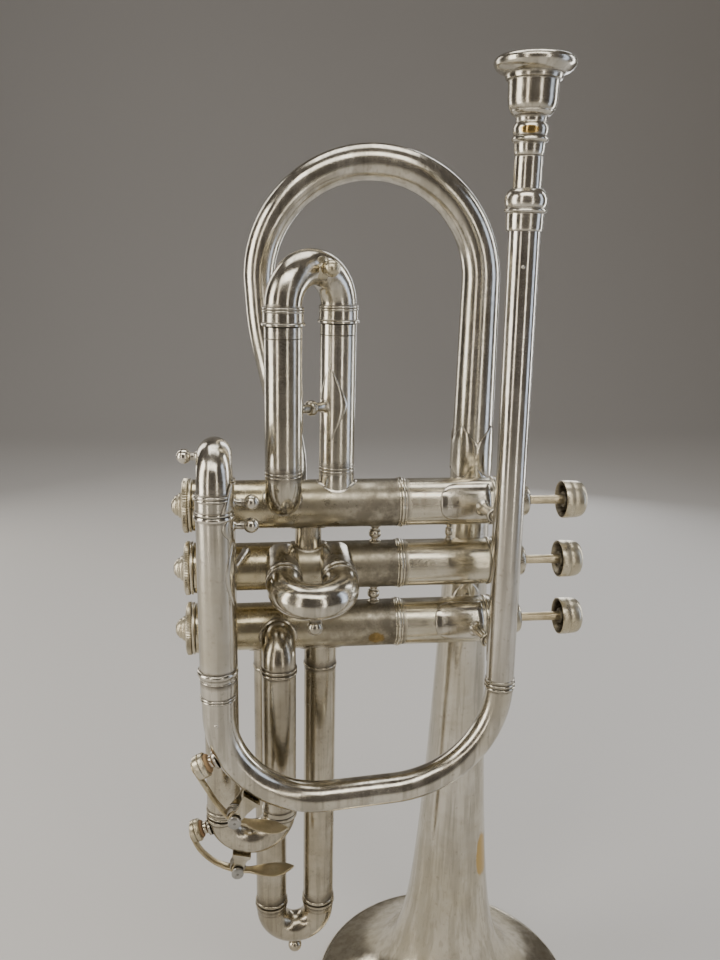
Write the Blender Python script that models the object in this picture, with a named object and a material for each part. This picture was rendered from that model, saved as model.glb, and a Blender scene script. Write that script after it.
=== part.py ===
"""Small-bore B flat cornet with three piston valves, standing on its bell rim.

Design frame (millimetres): X runs along the valve axes towards the finger
buttons, Z runs up the instrument from the bell rim to the mouthpiece, and the
leadpipe side is -Y.  The design origin is on valve 2's axis at its bottom cap.
Every object is written in metres about the centre of the base of the overall
box, so Z = 0 is the plane that the bell rim stands on.
"""
import math

import bmesh
import bpy
import numpy as np
from mathutils import Vector

MM = 0.001

# ---- driving dimensions, millimetres, design frame -------------------------
VALVE_PITCH = 24.0          # between neighbouring valve axes
CASING_R = 8.85             # outside radius of a valve casing
CASING_BORE = 8.05          # radius bored for the piston
PISTON_R = 7.8
CASING_X0, CASING_X1 = 1.9, 117.0
PISTON_X0, PISTON_X1 = 20.5, 84.0
STROKE = 14.0               # travel of a piston from rest to fully down
BUTTON_X0, BUTTON_X1 = 140.1, 148.9
BUTTON_OUT = (0.0, 0.4, 2.4)   # how much further out buttons 2 and 3 sit

TUBE_R = 6.25               # outer slide tube, outside
TUBE_BORE = 5.8             # outer slide tube, inside
LEG_R = 5.45                # inner slide leg, outside
BORE = 5.0                  # bore radius of the legs and bows
BUTT = 0.3                  # clearance where two soldered pieces meet

T1 = (10.8, -34.0)          # main tuning slide, front tube (X, Y)
T2 = (11.0, -16.0)          # main tuning slide, rear tube (X, Y)
TUNE_TOP = 31.0             # top of the two fixed tuning tubes
TUNE_TRAVEL = 20.0
LOW_C = -93.0               # height of the lower bow's centre
RETURN_X = 32.0             # return tube to valve 3

S1F = (33.85, -16.0)        # valve 1 slide, front leg (X, Y)
S1R = (53.8, 0.0)           # valve 1 slide, rear leg (X, Y)
S1_TOP = 89.4               # top of its outer tubes
S1_ARC = 95.6               # height of the crook's centre
S1_TRAVEL = 22.0

S2X = (33.9, 53.4)          # valve 2 slide, legs
S2_TILT = math.radians(7.0) # it droops a little away from the casing
S2_TRAVEL = 6.0

S3X = (29.1, 48.4)          # valve 3 slide, legs
S3_BOT = -147.4             # bottom of its outer tubes
S3_TRAVEL = 28.0

LEAD_X0, LEAD_X1 = 109.7, 107.9    # leadpipe axis at its foot and at its top
LEAD_Z0, LEAD_Z1 = -33.9, 122.5
LEAD_R, LEAD_BORE = 4.9, 4.4
BEND_L_R, BEND_L_Z = 35.6, -40.1   # lead bow, bend under the tuning slide
BEND_R_R, BEND_R_Z = 39.8, -34.2   # lead bow, bend under the leadpipe

BELL_X, BELL_Y = 111.6, 28.0
RIM_R, RIM_Z = 60.3, -227.8
BOW_R, BOW_Z = 42.45, 103.4        # bell bow, bend radius and its centre height

PLATE_T = 0.9                      # thickness of brace plates

# centre of the base of the overall box, in the design frame
ORIGIN = (82.729, 20.887, RIM_Z)

NT = 10                     # sides of a slide tube
NV = 12                     # sides of a valve casing
ND = 20                     # sides of the bell


for old in list(bpy.data.objects):
    bpy.data.objects.remove(old, do_unlink=True)

SILVER = ((0.62, 0.59, 0.52), 0.24, 1.0)
DULL = ((0.50, 0.46, 0.37), 0.36, 1.0)
BRASS = ((0.60, 0.47, 0.24), 0.34, 1.0)
STEEL = ((0.55, 0.55, 0.55), 0.30, 1.0)
CORK = ((0.46, 0.31, 0.17), 0.85, 0.0)


def material(name, look):
    colour, rough, metal = look
    m = bpy.data.materials.new("mat_" + name)
    m.use_nodes = True
    b = m.node_tree.nodes["Principled BSDF"]
    b.inputs["Base Color"].default_value = (*colour, 1.0)
    b.inputs["Roughness"].default_value = rough
    b.inputs["Metallic"].default_value = metal
    return m


def world(p):
    return Vector(((p[0] - ORIGIN[0]) * MM, (p[1] - ORIGIN[1]) * MM, (p[2] - ORIGIN[2]) * MM))


# ---- routes: dense centre lines with a carried cross-section frame ----------
def line(a, b, k=24):
    a, b = np.array(a, float), np.array(b, float)
    return a + (b - a) * np.linspace(0, 1, k)[:, None]


def arc(centre, radius, e1, e2, a0, a1, k=60):
    c, e1, e2 = (np.array(v, float) for v in (centre, e1, e2))
    t = np.radians(np.linspace(a0, a1, k))[:, None]
    return c + radius * (np.cos(t) * e1 + np.sin(t) * e2)


def spline(ctrl, k=16):
    """Smooth curve through control points (centripetal Catmull-Rom)."""
    c = [np.array(p, float) for p in ctrl]
    c = [2 * c[0] - c[1]] + c + [2 * c[-1] - c[-2]]
    out = []
    for i in range(1, len(c) - 2):
        p0, p1, p2, p3 = c[i - 1:i + 3]
        t0 = 0.0
        t1 = t0 + np.linalg.norm(p1 - p0) ** 0.5
        t2 = t1 + np.linalg.norm(p2 - p1) ** 0.5
        t3 = t2 + np.linalg.norm(p3 - p2) ** 0.5
        for t in np.linspace(t1, t2, k, endpoint=False):
            a1 = (t1 - t) / (t1 - t0) * p0 + (t - t0) / (t1 - t0) * p1
            a2 = (t2 - t) / (t2 - t1) * p1 + (t - t1) / (t2 - t1) * p2
            a3 = (t3 - t) / (t3 - t2) * p2 + (t - t2) / (t3 - t2) * p3
            b1 = (t2 - t) / (t2 - t0) * a1 + (t - t0) / (t2 - t0) * a2
            b2 = (t3 - t) / (t3 - t1) * a2 + (t - t1) / (t3 - t1) * a3
            out.append((t2 - t) / (t2 - t1) * b1 + (t - t1) / (t2 - t1) * b2)
    out.append(c[-2])
    return np.array(out)


class Route:
    def __init__(self, pieces, ref):
        pts = [np.array(pieces[0][0], float)]
        self.marks = [0.0]
        length = 0.0
        for piece in pieces:
            for q in piece:
                d = np.linalg.norm(q - pts[-1])
                if d > 1e-6:
                    length += d
                    pts.append(np.array(q, float))
            self.marks.append(length)
        self.p = np.array(pts)
        seg = np.linalg.norm(np.diff(self.p, axis=0), axis=1)
        self.s = np.concatenate([[0.0], np.cumsum(seg)])
        t = np.gradient(self.p, self.s, axis=0)
        self.t = t / np.linalg.norm(t, axis=1)[:, None]
        u = np.array(ref, float)
        us = []
        for k in range(len(self.p)):
            u = u - self.t[k] * np.dot(u, self.t[k])
            u = u / np.linalg.norm(u)
            us.append(u.copy())
        self.u = np.array(us)
        self.length = self.s[-1]

    def at(self, s):
        p = np.array([np.interp(s, self.s, self.p[:, i]) for i in range(3)])
        if s < 0:
            p = self.p[0] + self.t[0] * s
        if s > self.length:
            p = self.p[-1] + self.t[-1] * (s - self.length)
        t = np.array([np.interp(s, self.s, self.t[:, i]) for i in range(3)])
        u = np.array([np.interp(s, self.s, self.u[:, i]) for i in range(3)])
        t /= np.linalg.norm(t)
        u -= t * np.dot(u, t)
        u /= np.linalg.norm(u)
        return p, t, u, np.cross(t, u)


def refine(stations, bends):
    """Adds evenly spaced stations inside each bend (s0, s1, count)."""
    out = list(stations)
    lo = stations[0][0]
    hi = stations[-1][0]
    xs = [q[0] for q in stations]
    rs = [q[1] for q in stations]
    for s0, s1, k in bends:
        for s in np.linspace(s0, s1, k + 1):
            if lo + 0.2 < s < hi - 0.2 and min(abs(s - x) for x in xs) > 0.2:
                out.append((float(s), float(np.interp(s, xs, rs))))
    return sorted(out, key=lambda q: q[0]) if bends else out


def section(route, s, r, n):
    p, t, u, v = route.at(s)
    return [p + r * (math.cos(2 * math.pi * (k + 0.5) / n) * u + math.sin(2 * math.pi * (k + 0.5) / n) * v)
            for k in range(n)]


def make(name, loops, closed, look, pivot=None):
    """Bridges loops of points into one closed mesh; a loop of one point is a pole."""
    bm = bmesh.new()
    rings = [[bm.verts.new(tuple(p)) for p in loop] for loop in loops]
    pairs = list(zip(rings[:-1], rings[1:]))
    if closed:
        pairs.append((rings[-1], rings[0]))
    for a, b in pairs:
        n = max(len(a), len(b))
        for k in range(n):
            j = (k + 1) % n
            if len(a) == 1:
                bm.faces.new((a[0], b[k], b[j]))
            elif len(b) == 1:
                bm.faces.new((a[k], b[0], a[j]))
            else:
                bm.faces.new((a[k], b[k], b[j], a[j]))
    return from_bmesh(name, bm, look, pivot)


def from_bmesh(name, bm, look, pivot=None):
    bmesh.ops.recalc_face_normals(bm, faces=bm.faces[:])
    if bm.calc_volume(signed=True) < 0:
        bmesh.ops.reverse_faces(bm, faces=bm.faces[:])
    pivot = pivot if pivot is not None else (0.0, 0.0, 0.0)
    base = world(pivot)
    for v in bm.verts:
        v.co = world(v.co) - base
    mesh = bpy.data.meshes.new(name)
    bm.to_mesh(mesh)
    bm.free()
    mesh.materials.append(material(name, look))
    mesh.shade_smooth()
    mesh.set_sharp_from_angle(angle=math.radians(35))
    obj = bpy.data.objects.new(name, mesh)
    obj.location = base
    bpy.context.scene.collection.objects.link(obj)
    return obj


def tube(name, route, outer, inner, look, n=NT, bends=(), pivot=None):
    """Hollow sweep: outer and inner are lists of (distance, radius)."""
    loops = [section(route, s, r, n) for s, r in refine(outer, bends)]
    loops += [section(route, s, r, n) for s, r in reversed(refine(inner, bends))]
    return make(name, loops, True, look, pivot)


def turned(name, base, axis, profile, look, n=NV, ref=None, closed=True, pivot=None):
    """Turned piece: profile is a list of (distance along axis, radius)."""
    axis = np.array(axis, float) / np.linalg.norm(axis)
    if ref is None:
        ref = (0, 0, 1) if abs(axis[2]) < 0.9 else (1, 0, 0)
    route = Route([line(base, np.array(base) + 10 * axis, 3)], ref)
    loops = []
    for s, r in profile:
        loops.append(section(route, s, r, n) if r > 1e-6 else [np.array(base) + axis * s])
    return make(name, loops, closed, look, pivot)


def bead(s, r, w, h):
    """Stations of a rounded ring of width w standing h above radius r."""
    return [(s - w / 2, r), (s - w / 4, r + h), (s + w / 4, r + h), (s + w / 2, r)]


def band(s0, s1, r, h):
    """Stations of a square ring from s0 to s1."""
    return [(s0, r), (s0 + 0.05, r + h), (s1 - 0.05, r + h), (s1, r)]


# ---- solid helpers ----------------------------------------------------------
def combine(target, other, how):
    mod = target.modifiers.new(how, "BOOLEAN")
    mod.operation = how
    mod.solver = "EXACT"
    mod.object = other
    deps = bpy.context.evaluated_depsgraph_get()
    deps.update()
    mesh = bpy.data.meshes.new_from_object(target.evaluated_get(deps))
    target.modifiers.remove(mod)
    old = target.data
    bm = bmesh.new()
    bm.from_mesh(mesh)
    bmesh.ops.remove_doubles(bm, verts=bm.verts[:], dist=2e-6)
    bmesh.ops.dissolve_degenerate(bm, edges=bm.edges[:], dist=2e-6)
    bm.to_mesh(mesh)
    bm.free()
    keep = old.materials[0]
    mesh.materials.clear()
    mesh.materials.append(keep)
    for poly in mesh.polygons:
        poly.material_index = 0
    target.data = mesh
    mesh.name = target.name
    mesh.shade_smooth()
    mesh.set_sharp_from_angle(angle=math.radians(35))
    spare = other.data.materials[0]
    bpy.data.objects.remove(other, do_unlink=True)
    bpy.data.materials.remove(spare)
    bpy.data.meshes.remove(old)
    return target


def cut(target, other):
    return combine(target, other, "DIFFERENCE")


def weld(target, other):
    return combine(target, other, "UNION")


def rod(name, a, b, r, n=10, look=SILVER, ref=None):
    a, b = np.array(a, float), np.array(b, float)
    d = np.linalg.norm(b - a)
    return turned(name, a, b - a, [(0, 0), (0, r), (d, r), (d, 0)], look, n, ref, closed=False)


def casing_tool(valve, extra, x0=-20.0, x1=140.0, n=NV):
    """Cylinder around a valve casing, larger by extra."""
    z = VALVE_Z[valve]
    return rod("tool", (x0, 0, z), (x1, 0, z), CASING_R + extra, n, ref=(0, 0, 1))


def slab(name, outline, normal, thick, centre, e1, look):
    """Plate of an outline in the plane (e1, normal x e1), centred on thickness."""
    nrm = np.array(normal, float) / np.linalg.norm(normal)
    e1 = np.array(e1, float)
    e1 = e1 - nrm * np.dot(e1, nrm)
    e1 /= np.linalg.norm(e1)
    e2 = np.cross(nrm, e1)
    c = np.array(centre, float)
    bm = bmesh.new()
    lo = [bm.verts.new(tuple(c - nrm * thick / 2 + a * e1 + b * e2)) for a, b in outline]
    hi = [bm.verts.new(tuple(c + nrm * thick / 2 + a * e1 + b * e2)) for a, b in outline]
    bm.faces.new(lo)
    bm.faces.new(hi)
    k = len(outline)
    for i in range(k):
        j = (i + 1) % k
        bm.faces.new((lo[i], lo[j], hi[j], hi[i]))
    return from_bmesh(name, bm, look)


VALVE_Z = (VALVE_PITCH, 0.0, -VALVE_PITCH)
EX, EY, EZ = (1, 0, 0), (0, 1, 0), (0, 0, 1)


# ---- valves -----------------------------------------------------------------
def ball_knob(name, foot, axis, reach=3.4, ball=2.8, look=SILVER, n=8, root=1.0):
    """Small turned knob: a flared foot, a neck and a ball."""
    c = reach + ball * 0.85
    prof = [(-root, 0), (-root, 3.0), (0.2, 3.0), (0.9, 1.9), (reach * 0.62, 1.35)]
    for a in (-45, 0, 45):
        prof.append((c + ball * math.sin(math.radians(a)), ball * math.cos(math.radians(a))))
    prof.append((c + ball, 0))
    return turned(name, foot, axis, prof, look, n, closed=False)


ports = {
    # valve: list of (x, y, z direction, radius) of the holes through its wall
    0: [(S1F[0], (0, -0.87, 0.49), 4.7), (S1R[0], (0, 0, 1), 4.9), (38.5, (0, 1, 0.25), 4.7), (43.6, (0, 0, -1), 3.6)],
    1: [(S2X[0], (0, -0.97, 0.24), 4.7), (S2X[1], (0, -0.97, 0.24), 4.7), (43.6, (0, 0, 1), 3.6), (43.6, (0, 0, -1), 3.6)],
    2: [(RETURN_X, (0, -1, -0.12), 4.7), (S3X[0], (0, 0, -1), 4.7), (S3X[1], (0, 0, -1), 4.7), (43.6, (0, 0, 1), 3.6)],
}

for v in range(3):
    z = VALVE_Z[v]
    num = str(v + 1)
    base = (0.0, 0.0, z)
    axis = Route([line((0, 0, z), (120, 0, z), 3)], EZ)
    outer = [(CASING_X0, CASING_R + 0.4), (CASING_X0 + 2.6, CASING_R + 0.4), (CASING_X0 + 2.65, CASING_R)] \
        + bead(77.7, CASING_R, 2.0, 0.45) + [(CASING_X1 - 2.65, CASING_R), (CASING_X1 - 2.6, CASING_R + 0.4), (CASING_X1, CASING_R + 0.4)]
    casing = tube("casing_" + num, axis, outer, [(CASING_X0, CASING_BORE), (CASING_X1, CASING_BORE)], SILVER, NV)
    for x, d, r in ports[v]:
        d = np.array(d, float)
        d /= np.linalg.norm(d)
        a = np.array((x, 0, z))
        cut(casing, rod("tool", a + d * 4.0, a + d * 12.5, r, 8, ref=EX))

    # bottom cap: turned nipple, knurled flange and a spigot inside the casing
    turned("bottom_cap_" + num, base, EX, [
        (-5.7, 0.7), (-5.5, 2.0), (-4.9, 2.9), (-2.1, 4.3), (-1.7, 9.2),
        (-1.2, 9.9), (0.5, 9.9), (0.7, 9.35), (1.6, 9.35), (1.6, 7.75), (6.0, 7.75), (6.0, 6.9), (0.2, 6.9), (-0.3, 0.7)],
        SILVER, NV)

    # top cap: spigot, knurled flange, and the boss that the stem runs through
    turned("top_cap_" + num, base, EX, [
        (112.0, 7.75), (117.3, 7.75), (117.3, 9.3), (118.2, 9.3), (118.4, 9.9), (120.9, 9.9), (121.5, 9.2),
        (122.2, 6.4), (125.9, 5.9), (126.6, 5.2), (126.6, 2.1), (118.8, 2.1), (118.8, 6.8), (112.0, 6.8)],
        SILVER, NV)

    # piston: solid, with three cross passages and a spring recess below
    pivot = (PISTON_X0, 0, z)
    piston = turned("piston_" + num, base, EX, [
        (PISTON_X0, 6.2), (PISTON_X0, PISTON_R), (PISTON_X1, PISTON_R), (PISTON_X1, 2.4), (PISTON_X1 - 4.0, 2.4),
        (PISTON_X1 - 4.0, 0)][::-1] + [(PISTON_X0 + 6.0, 6.2), (PISTON_X0 + 6.0, 0)],
        STEEL, NV, closed=False, pivot=pivot)
    for x, d in ((35.0, EZ), (50.0, EY), (65.0, EZ)):
        d = np.array(d, float)
        a = np.array((x, 0, z))
        cut(piston, rod("tool", a - d * 9.5, a + d * 9.5, 4.4, 8, ref=EX))

    out = BUTTON_OUT[v]
    stem0, stem1 = PISTON_X1 - 3.7, BUTTON_X0 + 2.4 + out
    turned("stem_" + num, base, EX, [
        (stem0, 0), (stem0, 2.1), (stem0 + 3.4, 2.1), (stem0 + 3.9, 1.65), (stem1, 1.65), (stem1, 0)],
        BRASS, 10, closed=False, pivot=(stem0, 0, z))
    b0, b1 = BUTTON_X0 + out, BUTTON_X1 + out
    turned("button_" + num, base, EX, [
        (b0 + 2.7, 0), (b0 + 2.7, 1.95), (b0 + 0.6, 1.95), (b0 + 0.6, 2.9), (b0 + 3.4, 3.1), (b0 + 3.4, 5.7),
        (b0 + 0.2, 6.2), (b0 + 0.2, 7.1), (b1 - 2.4, 7.1), (b1 - 0.7, 6.3), (b1, 4.4), (b1, 0)],
        SILVER, NV, closed=False, pivot=(b0, 0, z))

# passages and braces between the casings
for name, top, bottom in (("crossover_12", 0, 1), ("crossover_23", 1, 2)):
    zt, zb = VALVE_Z[top] - 6.6, VALVE_Z[bottom] + 6.6
    r = Route([line((43.6, 0, zt), (43.6, 0, zb))], EX)
    t = tube(name, r, [(0, 4.9), (r.length, 4.9)], [(0, 4.2), (r.length, 4.2)], DULL, NT)
    cut(t, casing_tool(top, 0.3))
    cut(t, casing_tool(bottom, 0.3))


def baluster(name, a, b, r0=1.3, r1=2.3, look=SILVER, n=10, saddles=()):
    """Turned brace with a flared foot at each end and a bead in the middle."""
    a, b = np.array(a, float), np.array(b, float)
    d = np.linalg.norm(b - a)
    m = d / 2
    prof = [(0, 0), (0, r1), (0.8, r1), (1.3, r0), (m - 1.3, r0), (m - 0.6, r1 * 0.95), (m + 0.6, r1 * 0.95), (m + 1.3, r0),
            (d - 1.3, r0), (d - 0.8, r1), (d, r1), (d, 0)]
    return turned(name, a, b - a, prof, look, n, closed=False)


for name, top, x in (("brace_12", 0, 68.6), ("brace_23", 1, 68.6)):
    zt, zb = VALVE_Z[top], VALVE_Z[top + 1]
    t = baluster(name, (x, 0, zt - CASING_R - 0.3), (x, 0, zb + CASING_R + 0.3))

# ---- mouthpiece, receiver and leadpipe --------------------------------------
MPX, MPY = 107.8, -34.0
turned("mouthpiece", (MPX, MPY, 0), EZ, [
    (124.0, 4.05), (143.0, 4.35), (146.6, 4.7), (147.3, 5.6), (148.2, 5.5),
    (148.8, 4.7), (150.6, 5.3), (153.4, 4.6), (154.6, 5.9), (156.6, 7.1), (163.6, 7.6), (164.0, 8.3),
    (165.6, 8.6), (166.6, 11.2), (167.8, 12.2), (169.2, 12.0), (170.2, 10.9), (169.9, 9.6), (168.4, 8.4), (165.2, 7.7), (161.4, 6.3),
    (157.2, 3.9), (154.4, 1.9), (151.0, 1.9), (124.0, 3.4)], SILVER, NV)

turned("receiver", (MPX, MPY, 0), EZ, [
    (120.6, 5.5), (121.0, 5.75), (126.2, 6.0), (126.4, 6.5), (127.4, 6.5), (127.7, 6.2), (129.0, 6.5), (131.0, 6.45),
    (132.8, 5.6), (133.2, 4.7), (123.1, 4.4), (123.1, 5.15), (120.6, 5.15)], SILVER, NV)

lead = Route([line((LEAD_X0, MPY, LEAD_Z0), (LEAD_X1, MPY, LEAD_Z1))], EY)
tube("leadpipe", lead, [(0, LEAD_R), (lead.length, LEAD_R)], [(0, LEAD_BORE), (lead.length, LEAD_BORE)], SILVER, NT)

# lead bow: down from the leadpipe, under, and up into the front tuning tube
c1 = np.array((T1[0] + BEND_L_R, MPY, BEND_L_Z))
c2 = np.array((LEAD_X0 - BEND_R_R, MPY, BEND_R_Z))
gap = c2 - c1
gap_len = math.hypot(gap[0], gap[2])
rise = math.degrees(math.atan2(gap[2], gap[0]) + math.asin((BEND_L_R - BEND_R_R) / gap_len))
BOW_TENON = 7.0
lead_bow_route = Route([
    line((T1[0], MPY, -27.6), (T1[0], MPY, BEND_L_Z)),
    arc(c1, BEND_L_R, EX, EZ, 180, 270 + rise),
    line(c1 + BEND_L_R * np.array((math.sin(math.radians(rise)), 0, -math.cos(math.radians(rise)))),
         c2 + BEND_R_R * np.array((math.sin(math.radians(rise)), 0, -math.cos(math.radians(rise))))),
    arc(c2, BEND_R_R, EX, EZ, 270 + rise, 360)], EY)
m = lead_bow_route.marks
L = lead_bow_route.length
bow_r = lambda s: 5.75 + (LEAD_R - 5.75) * s / L
tube("lead_bow", lead_bow_route,
     [(0, LEG_R), (BOW_TENON, LEG_R), (BOW_TENON + 0.1, bow_r(BOW_TENON)), (m[2], bow_r(m[2])), (m[3], bow_r(m[3])), (L, LEAD_R)],
     [(0, BORE), (m[2], 4.9), (m[3], 4.7), (L, LEAD_BORE)], SILVER, NT,
     bends=[(m[1], m[2], 6), (m[3], m[4], 6)])

turned("lead_ferrule", (LEAD_X0, MPY, LEAD_Z0), EZ, [
    (-1.5, LEAD_R + 0.25), (-1.5, LEAD_R + 0.5), (-0.9, LEAD_R + 0.5), (-0.7, LEAD_R + 0.8), (0.3, LEAD_R + 0.8), (0.5, LEAD_R + 0.5),
    (2.6, LEAD_R + 0.5), (2.6, LEAD_R + 0.25)], SILVER, NT, ref=EY)

# ---- main tuning slide -------------------------------------------------------
r = Route([line((*T1, TUNE_TOP), (*T1, -34.4))], EY)
tube("tuning_tube_front", r,
     [(0, TUBE_R)] + band(0.05, 1.5, TUBE_R, 0.45) + [(54.6, TUBE_R)] + band(54.7, 57.0, TUBE_R, 0.7) + [(64.0, 6.0), (64.3, 6.25), (65.2, 6.25), (65.4, 6.0)],
     [(0, TUBE_BORE), (r.length, TUBE_BORE)], SILVER, NT)

r = Route([line((*T2, TUNE_TOP), (*T2, LOW_C))], EY)
tube("tuning_tube_rear", r,
     [(0, TUBE_R)] + band(0.05, 1.5, TUBE_R, 0.45) + band(r.length - 2.0, r.length - 0.1, TUBE_R, 0.3) + [(r.length, TUBE_R)],
     [(0, TUBE_BORE), (r.length, TUBE_BORE)], DULL, NT)


def crook(name, a, b, up, arc_at, top, legs, sleeve, look, bend_r, n=NT, ring=1.0, steps=6, pivot=None):
    """U-shaped slide: two inner legs, stop sleeves that meet the outer tubes, and a half-circle bend.

    a and b are the leg axes where the outer tubes end, up points out of the tubes,
    arc_at is the distance from there to the bend's centre, legs is the leg length inside."""
    a, b, up = np.array(a, float), np.array(b, float), np.array(up, float)
    across = (b - a) / np.linalg.norm(b - a)
    mid = (a + b) / 2
    rad = np.linalg.norm(b - a) / 2
    c = mid + up * arc_at
    ref = np.cross(across, up)
    route = Route([line(a - up * legs, a + up * arc_at), arc(c, rad, -across, up, 0, 180), line(b + up * arc_at, b - up * legs)], ref)
    m = route.marks
    s0 = legs + 0.3
    s1 = legs + sleeve
    e = route.length
    half = [(0, LEG_R), (s0, LEG_R), (s0 + 0.05, TUBE_R + ring), (s0 + 0.95, TUBE_R + ring), (s0 + 1.0, TUBE_R + 0.5),
            (s1, TUBE_R + 0.5), (s1 + 0.05, bend_r)]
    outer = half + [(e - s, r) for s, r in reversed(half)]
    inner = [(0, BORE), (e, BORE)]
    obj = tube(name, route, outer, inner, look, n, bends=[(m[1], m[2], steps)], pivot=pivot)
    return obj, route, mid + up * (arc_at + rad), ref


tune_arc = 8.6
obj, route, apex, ref = crook("tuning_crook", (*T1, TUNE_TOP), (*T2, TUNE_TOP), EZ, tune_arc, 0, 30.0, 6.6, SILVER, 5.7, ring=0.15,
                              pivot=(*T1, TUNE_TOP))
weld(obj, ball_knob("knob", (apex[0] - 4.9, apex[1], apex[2] - 0.2), (-1, 0, 0), 3.0, 2.6))

# lower bow and the return tube to valve 3
low_rad = (RETURN_X - T2[0]) / 2
low_c = ((RETURN_X + T2[0]) / 2, T2[1], LOW_C)
tenon = 4.0
r = Route([line((T2[0], T2[1], LOW_C + tenon), (T2[0], T2[1], LOW_C - 0.3)), arc((low_c[0], low_c[1], LOW_C - 0.3), low_rad, EX, EZ, 180, 360),
           line((RETURN_X, T2[1], LOW_C - 0.3), (RETURN_X, T2[1], LOW_C + tenon))], EY)
m = r.marks
e = r.length
half = [(0, LEG_R), (m[1], LEG_R), (m[1] + 0.05, TUBE_R + 0.3), (m[1] + 1.1, TUBE_R + 0.3), (m[1] + 1.15, TUBE_R - 0.1)]
tube("lower_bow", r, half + [(e - s, q) for s, q in reversed(half)], [(0, BORE), (e, BORE)], DULL, NT, bends=[(m[1], m[2], 6)])

KNUCKLE = 7.0
z3 = VALVE_Z[2]
r = Route([line((RETURN_X, T2[1], LOW_C), (RETURN_X, T2[1], z3 - KNUCKLE - 1.0)),
           arc((RETURN_X, T2[1] + KNUCKLE, z3 - KNUCKLE - 1.0), KNUCKLE, (0, -1, 0), EZ, 0, 90, 40),
           line((RETURN_X, T2[1] + KNUCKLE, z3 - 1.0), (RETURN_X, -4.0, z3 - 1.0), 8)], EX)
m = r.marks
obj = tube("return_tube", r,
           [(0, TUBE_R)] + band(0.1, 2.0, TUBE_R, 0.3) + [(m[1] - 3.6, TUBE_R)] + bead(m[1] - 3.0, TUBE_R, 1.2, 0.4) + bead(m[1] - 1.2, TUBE_R, 1.2, 0.4)
           + [(m[2], TUBE_R - 0.15), (r.length, TUBE_R - 0.15)],
           [(0, TUBE_BORE), (m[1], TUBE_BORE), (m[2], 5.2), (r.length, 5.2)], DULL, NT, bends=[(m[1], m[2], 5)])
cut(obj, casing_tool(2, 0.3))

# ---- valve 1 slide -----------------------------------------------------------
z1 = VALVE_Z[0]
KR = 8.0
turn = 75.0
kz = z1 + 12.6
end = np.array((S1F[0], S1F[1] + KR - KR * math.cos(math.radians(turn)), kz - KR * math.sin(math.radians(turn))))
go = np.array((0, math.sin(math.radians(turn)), -math.cos(math.radians(turn))))
across1 = np.array((S1R[0] - S1F[0], S1R[1] - S1F[1], 0.0))
facing1 = np.cross(across1 / np.linalg.norm(across1), EZ)
r = Route([line((*S1F, S1_TOP), (*S1F, kz)), arc((S1F[0], S1F[1] + KR, kz), KR, (0, -1, 0), (0, 0, -1), 0, turn, 40), line(end, end + go * 6.0, 8)], facing1)
m = r.marks
obj = tube("slide1_tube_front", r,
           [(0, TUBE_R), (m[1] - 4.4, TUBE_R)] + bead(m[1] - 3.6, TUBE_R, 1.2, 0.35) + [(m[2], TUBE_R - 0.1), (r.length, TUBE_R - 0.1)],
           [(0, TUBE_BORE), (m[1], TUBE_BORE), (m[2], 5.2), (r.length, 5.2)], SILVER, NT, bends=[(m[1], m[2], 5)])
cut(obj, casing_tool(0, 0.3))

r = Route([line((*S1R, S1_TOP), (*S1R, z1 + 4.0))], facing1)
obj = tube("slide1_tube_rear", r, [(0, TUBE_R), (50.4, TUBE_R)] + bead(51.2, TUBE_R, 1.2, 0.35) + [(54.0, TUBE_R + 0.15), (r.length, TUBE_R)],
           [(0, TUBE_BORE), (r.length, TUBE_BORE)], SILVER, NT)
cut(obj, casing_tool(0, 0.3))

obj, route, apex, ref = crook("slide1_crook", (*S1F, S1_TOP), (*S1R, S1_TOP), EZ, S1_ARC - S1_TOP, 0, 40.0, 6.1, SILVER, 6.2, ring=1.05,
                              pivot=(*S1F, S1_TOP))
side = np.array((S1R[1] - S1F[1], -(S1R[0] - S1F[0]), 0.0))
side /= np.linalg.norm(side)
weld(obj, ball_knob("knob", apex + side * 5.3 - np.array((0, 0, 0.2)), side, 2.4, 2.8))

a = np.array((*S1F, 60.8))
b = np.array((*S1R, 60.8))
d = (b - a) / np.linalg.norm(b - a)
baluster("slide1_brace", a + d * (TUBE_R + 0.3), b - d * (TUBE_R + 0.3), 1.6, 2.6)

# ---- valve 2 slide -----------------------------------------------------------
out2 = np.array((0, -math.cos(S2_TILT), -math.sin(S2_TILT)))
lift = np.cross(EX, out2)
z2 = 3.2                               # height of the slide axis at the casing's front
S2_START = 4.0
S2_END = 19.6
for name, x in (("slide2_tube_left", S2X[0]), ("slide2_tube_right", S2X[1])):
    foot = np.array((x, -CASING_R, z2))
    p0 = foot - out2 * 6.0
    p1 = foot + out2 * (S2_END - CASING_R)
    r = Route([line(p0, p1)], EX)
    e = r.length
    obj = tube(name, r, [(0, TUBE_R), (e - 2.0, TUBE_R), (e - 1.6, TUBE_R + 0.35), (e - 0.3, TUBE_R + 0.35), (e, TUBE_R)],
               [(0, TUBE_BORE), (e, TUBE_BORE)], SILVER, NT)
    cut(obj, casing_tool(1, 0.3))
S2A = np.array((S2X[0], -CASING_R, z2)) + out2 * (S2_END - CASING_R)
S2B = np.array((S2X[1], -CASING_R, z2)) + out2 * (S2_END - CASING_R)
obj, route, apex, ref = crook("slide2_crook", S2A, S2B, out2, 6.4, 0, 7.5, 4.2, SILVER, 6.2, ring=0.6, pivot=tuple(S2A))
weld(obj, ball_knob("knob", apex + lift * 5.3, lift, 2.4, 2.8))

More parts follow.
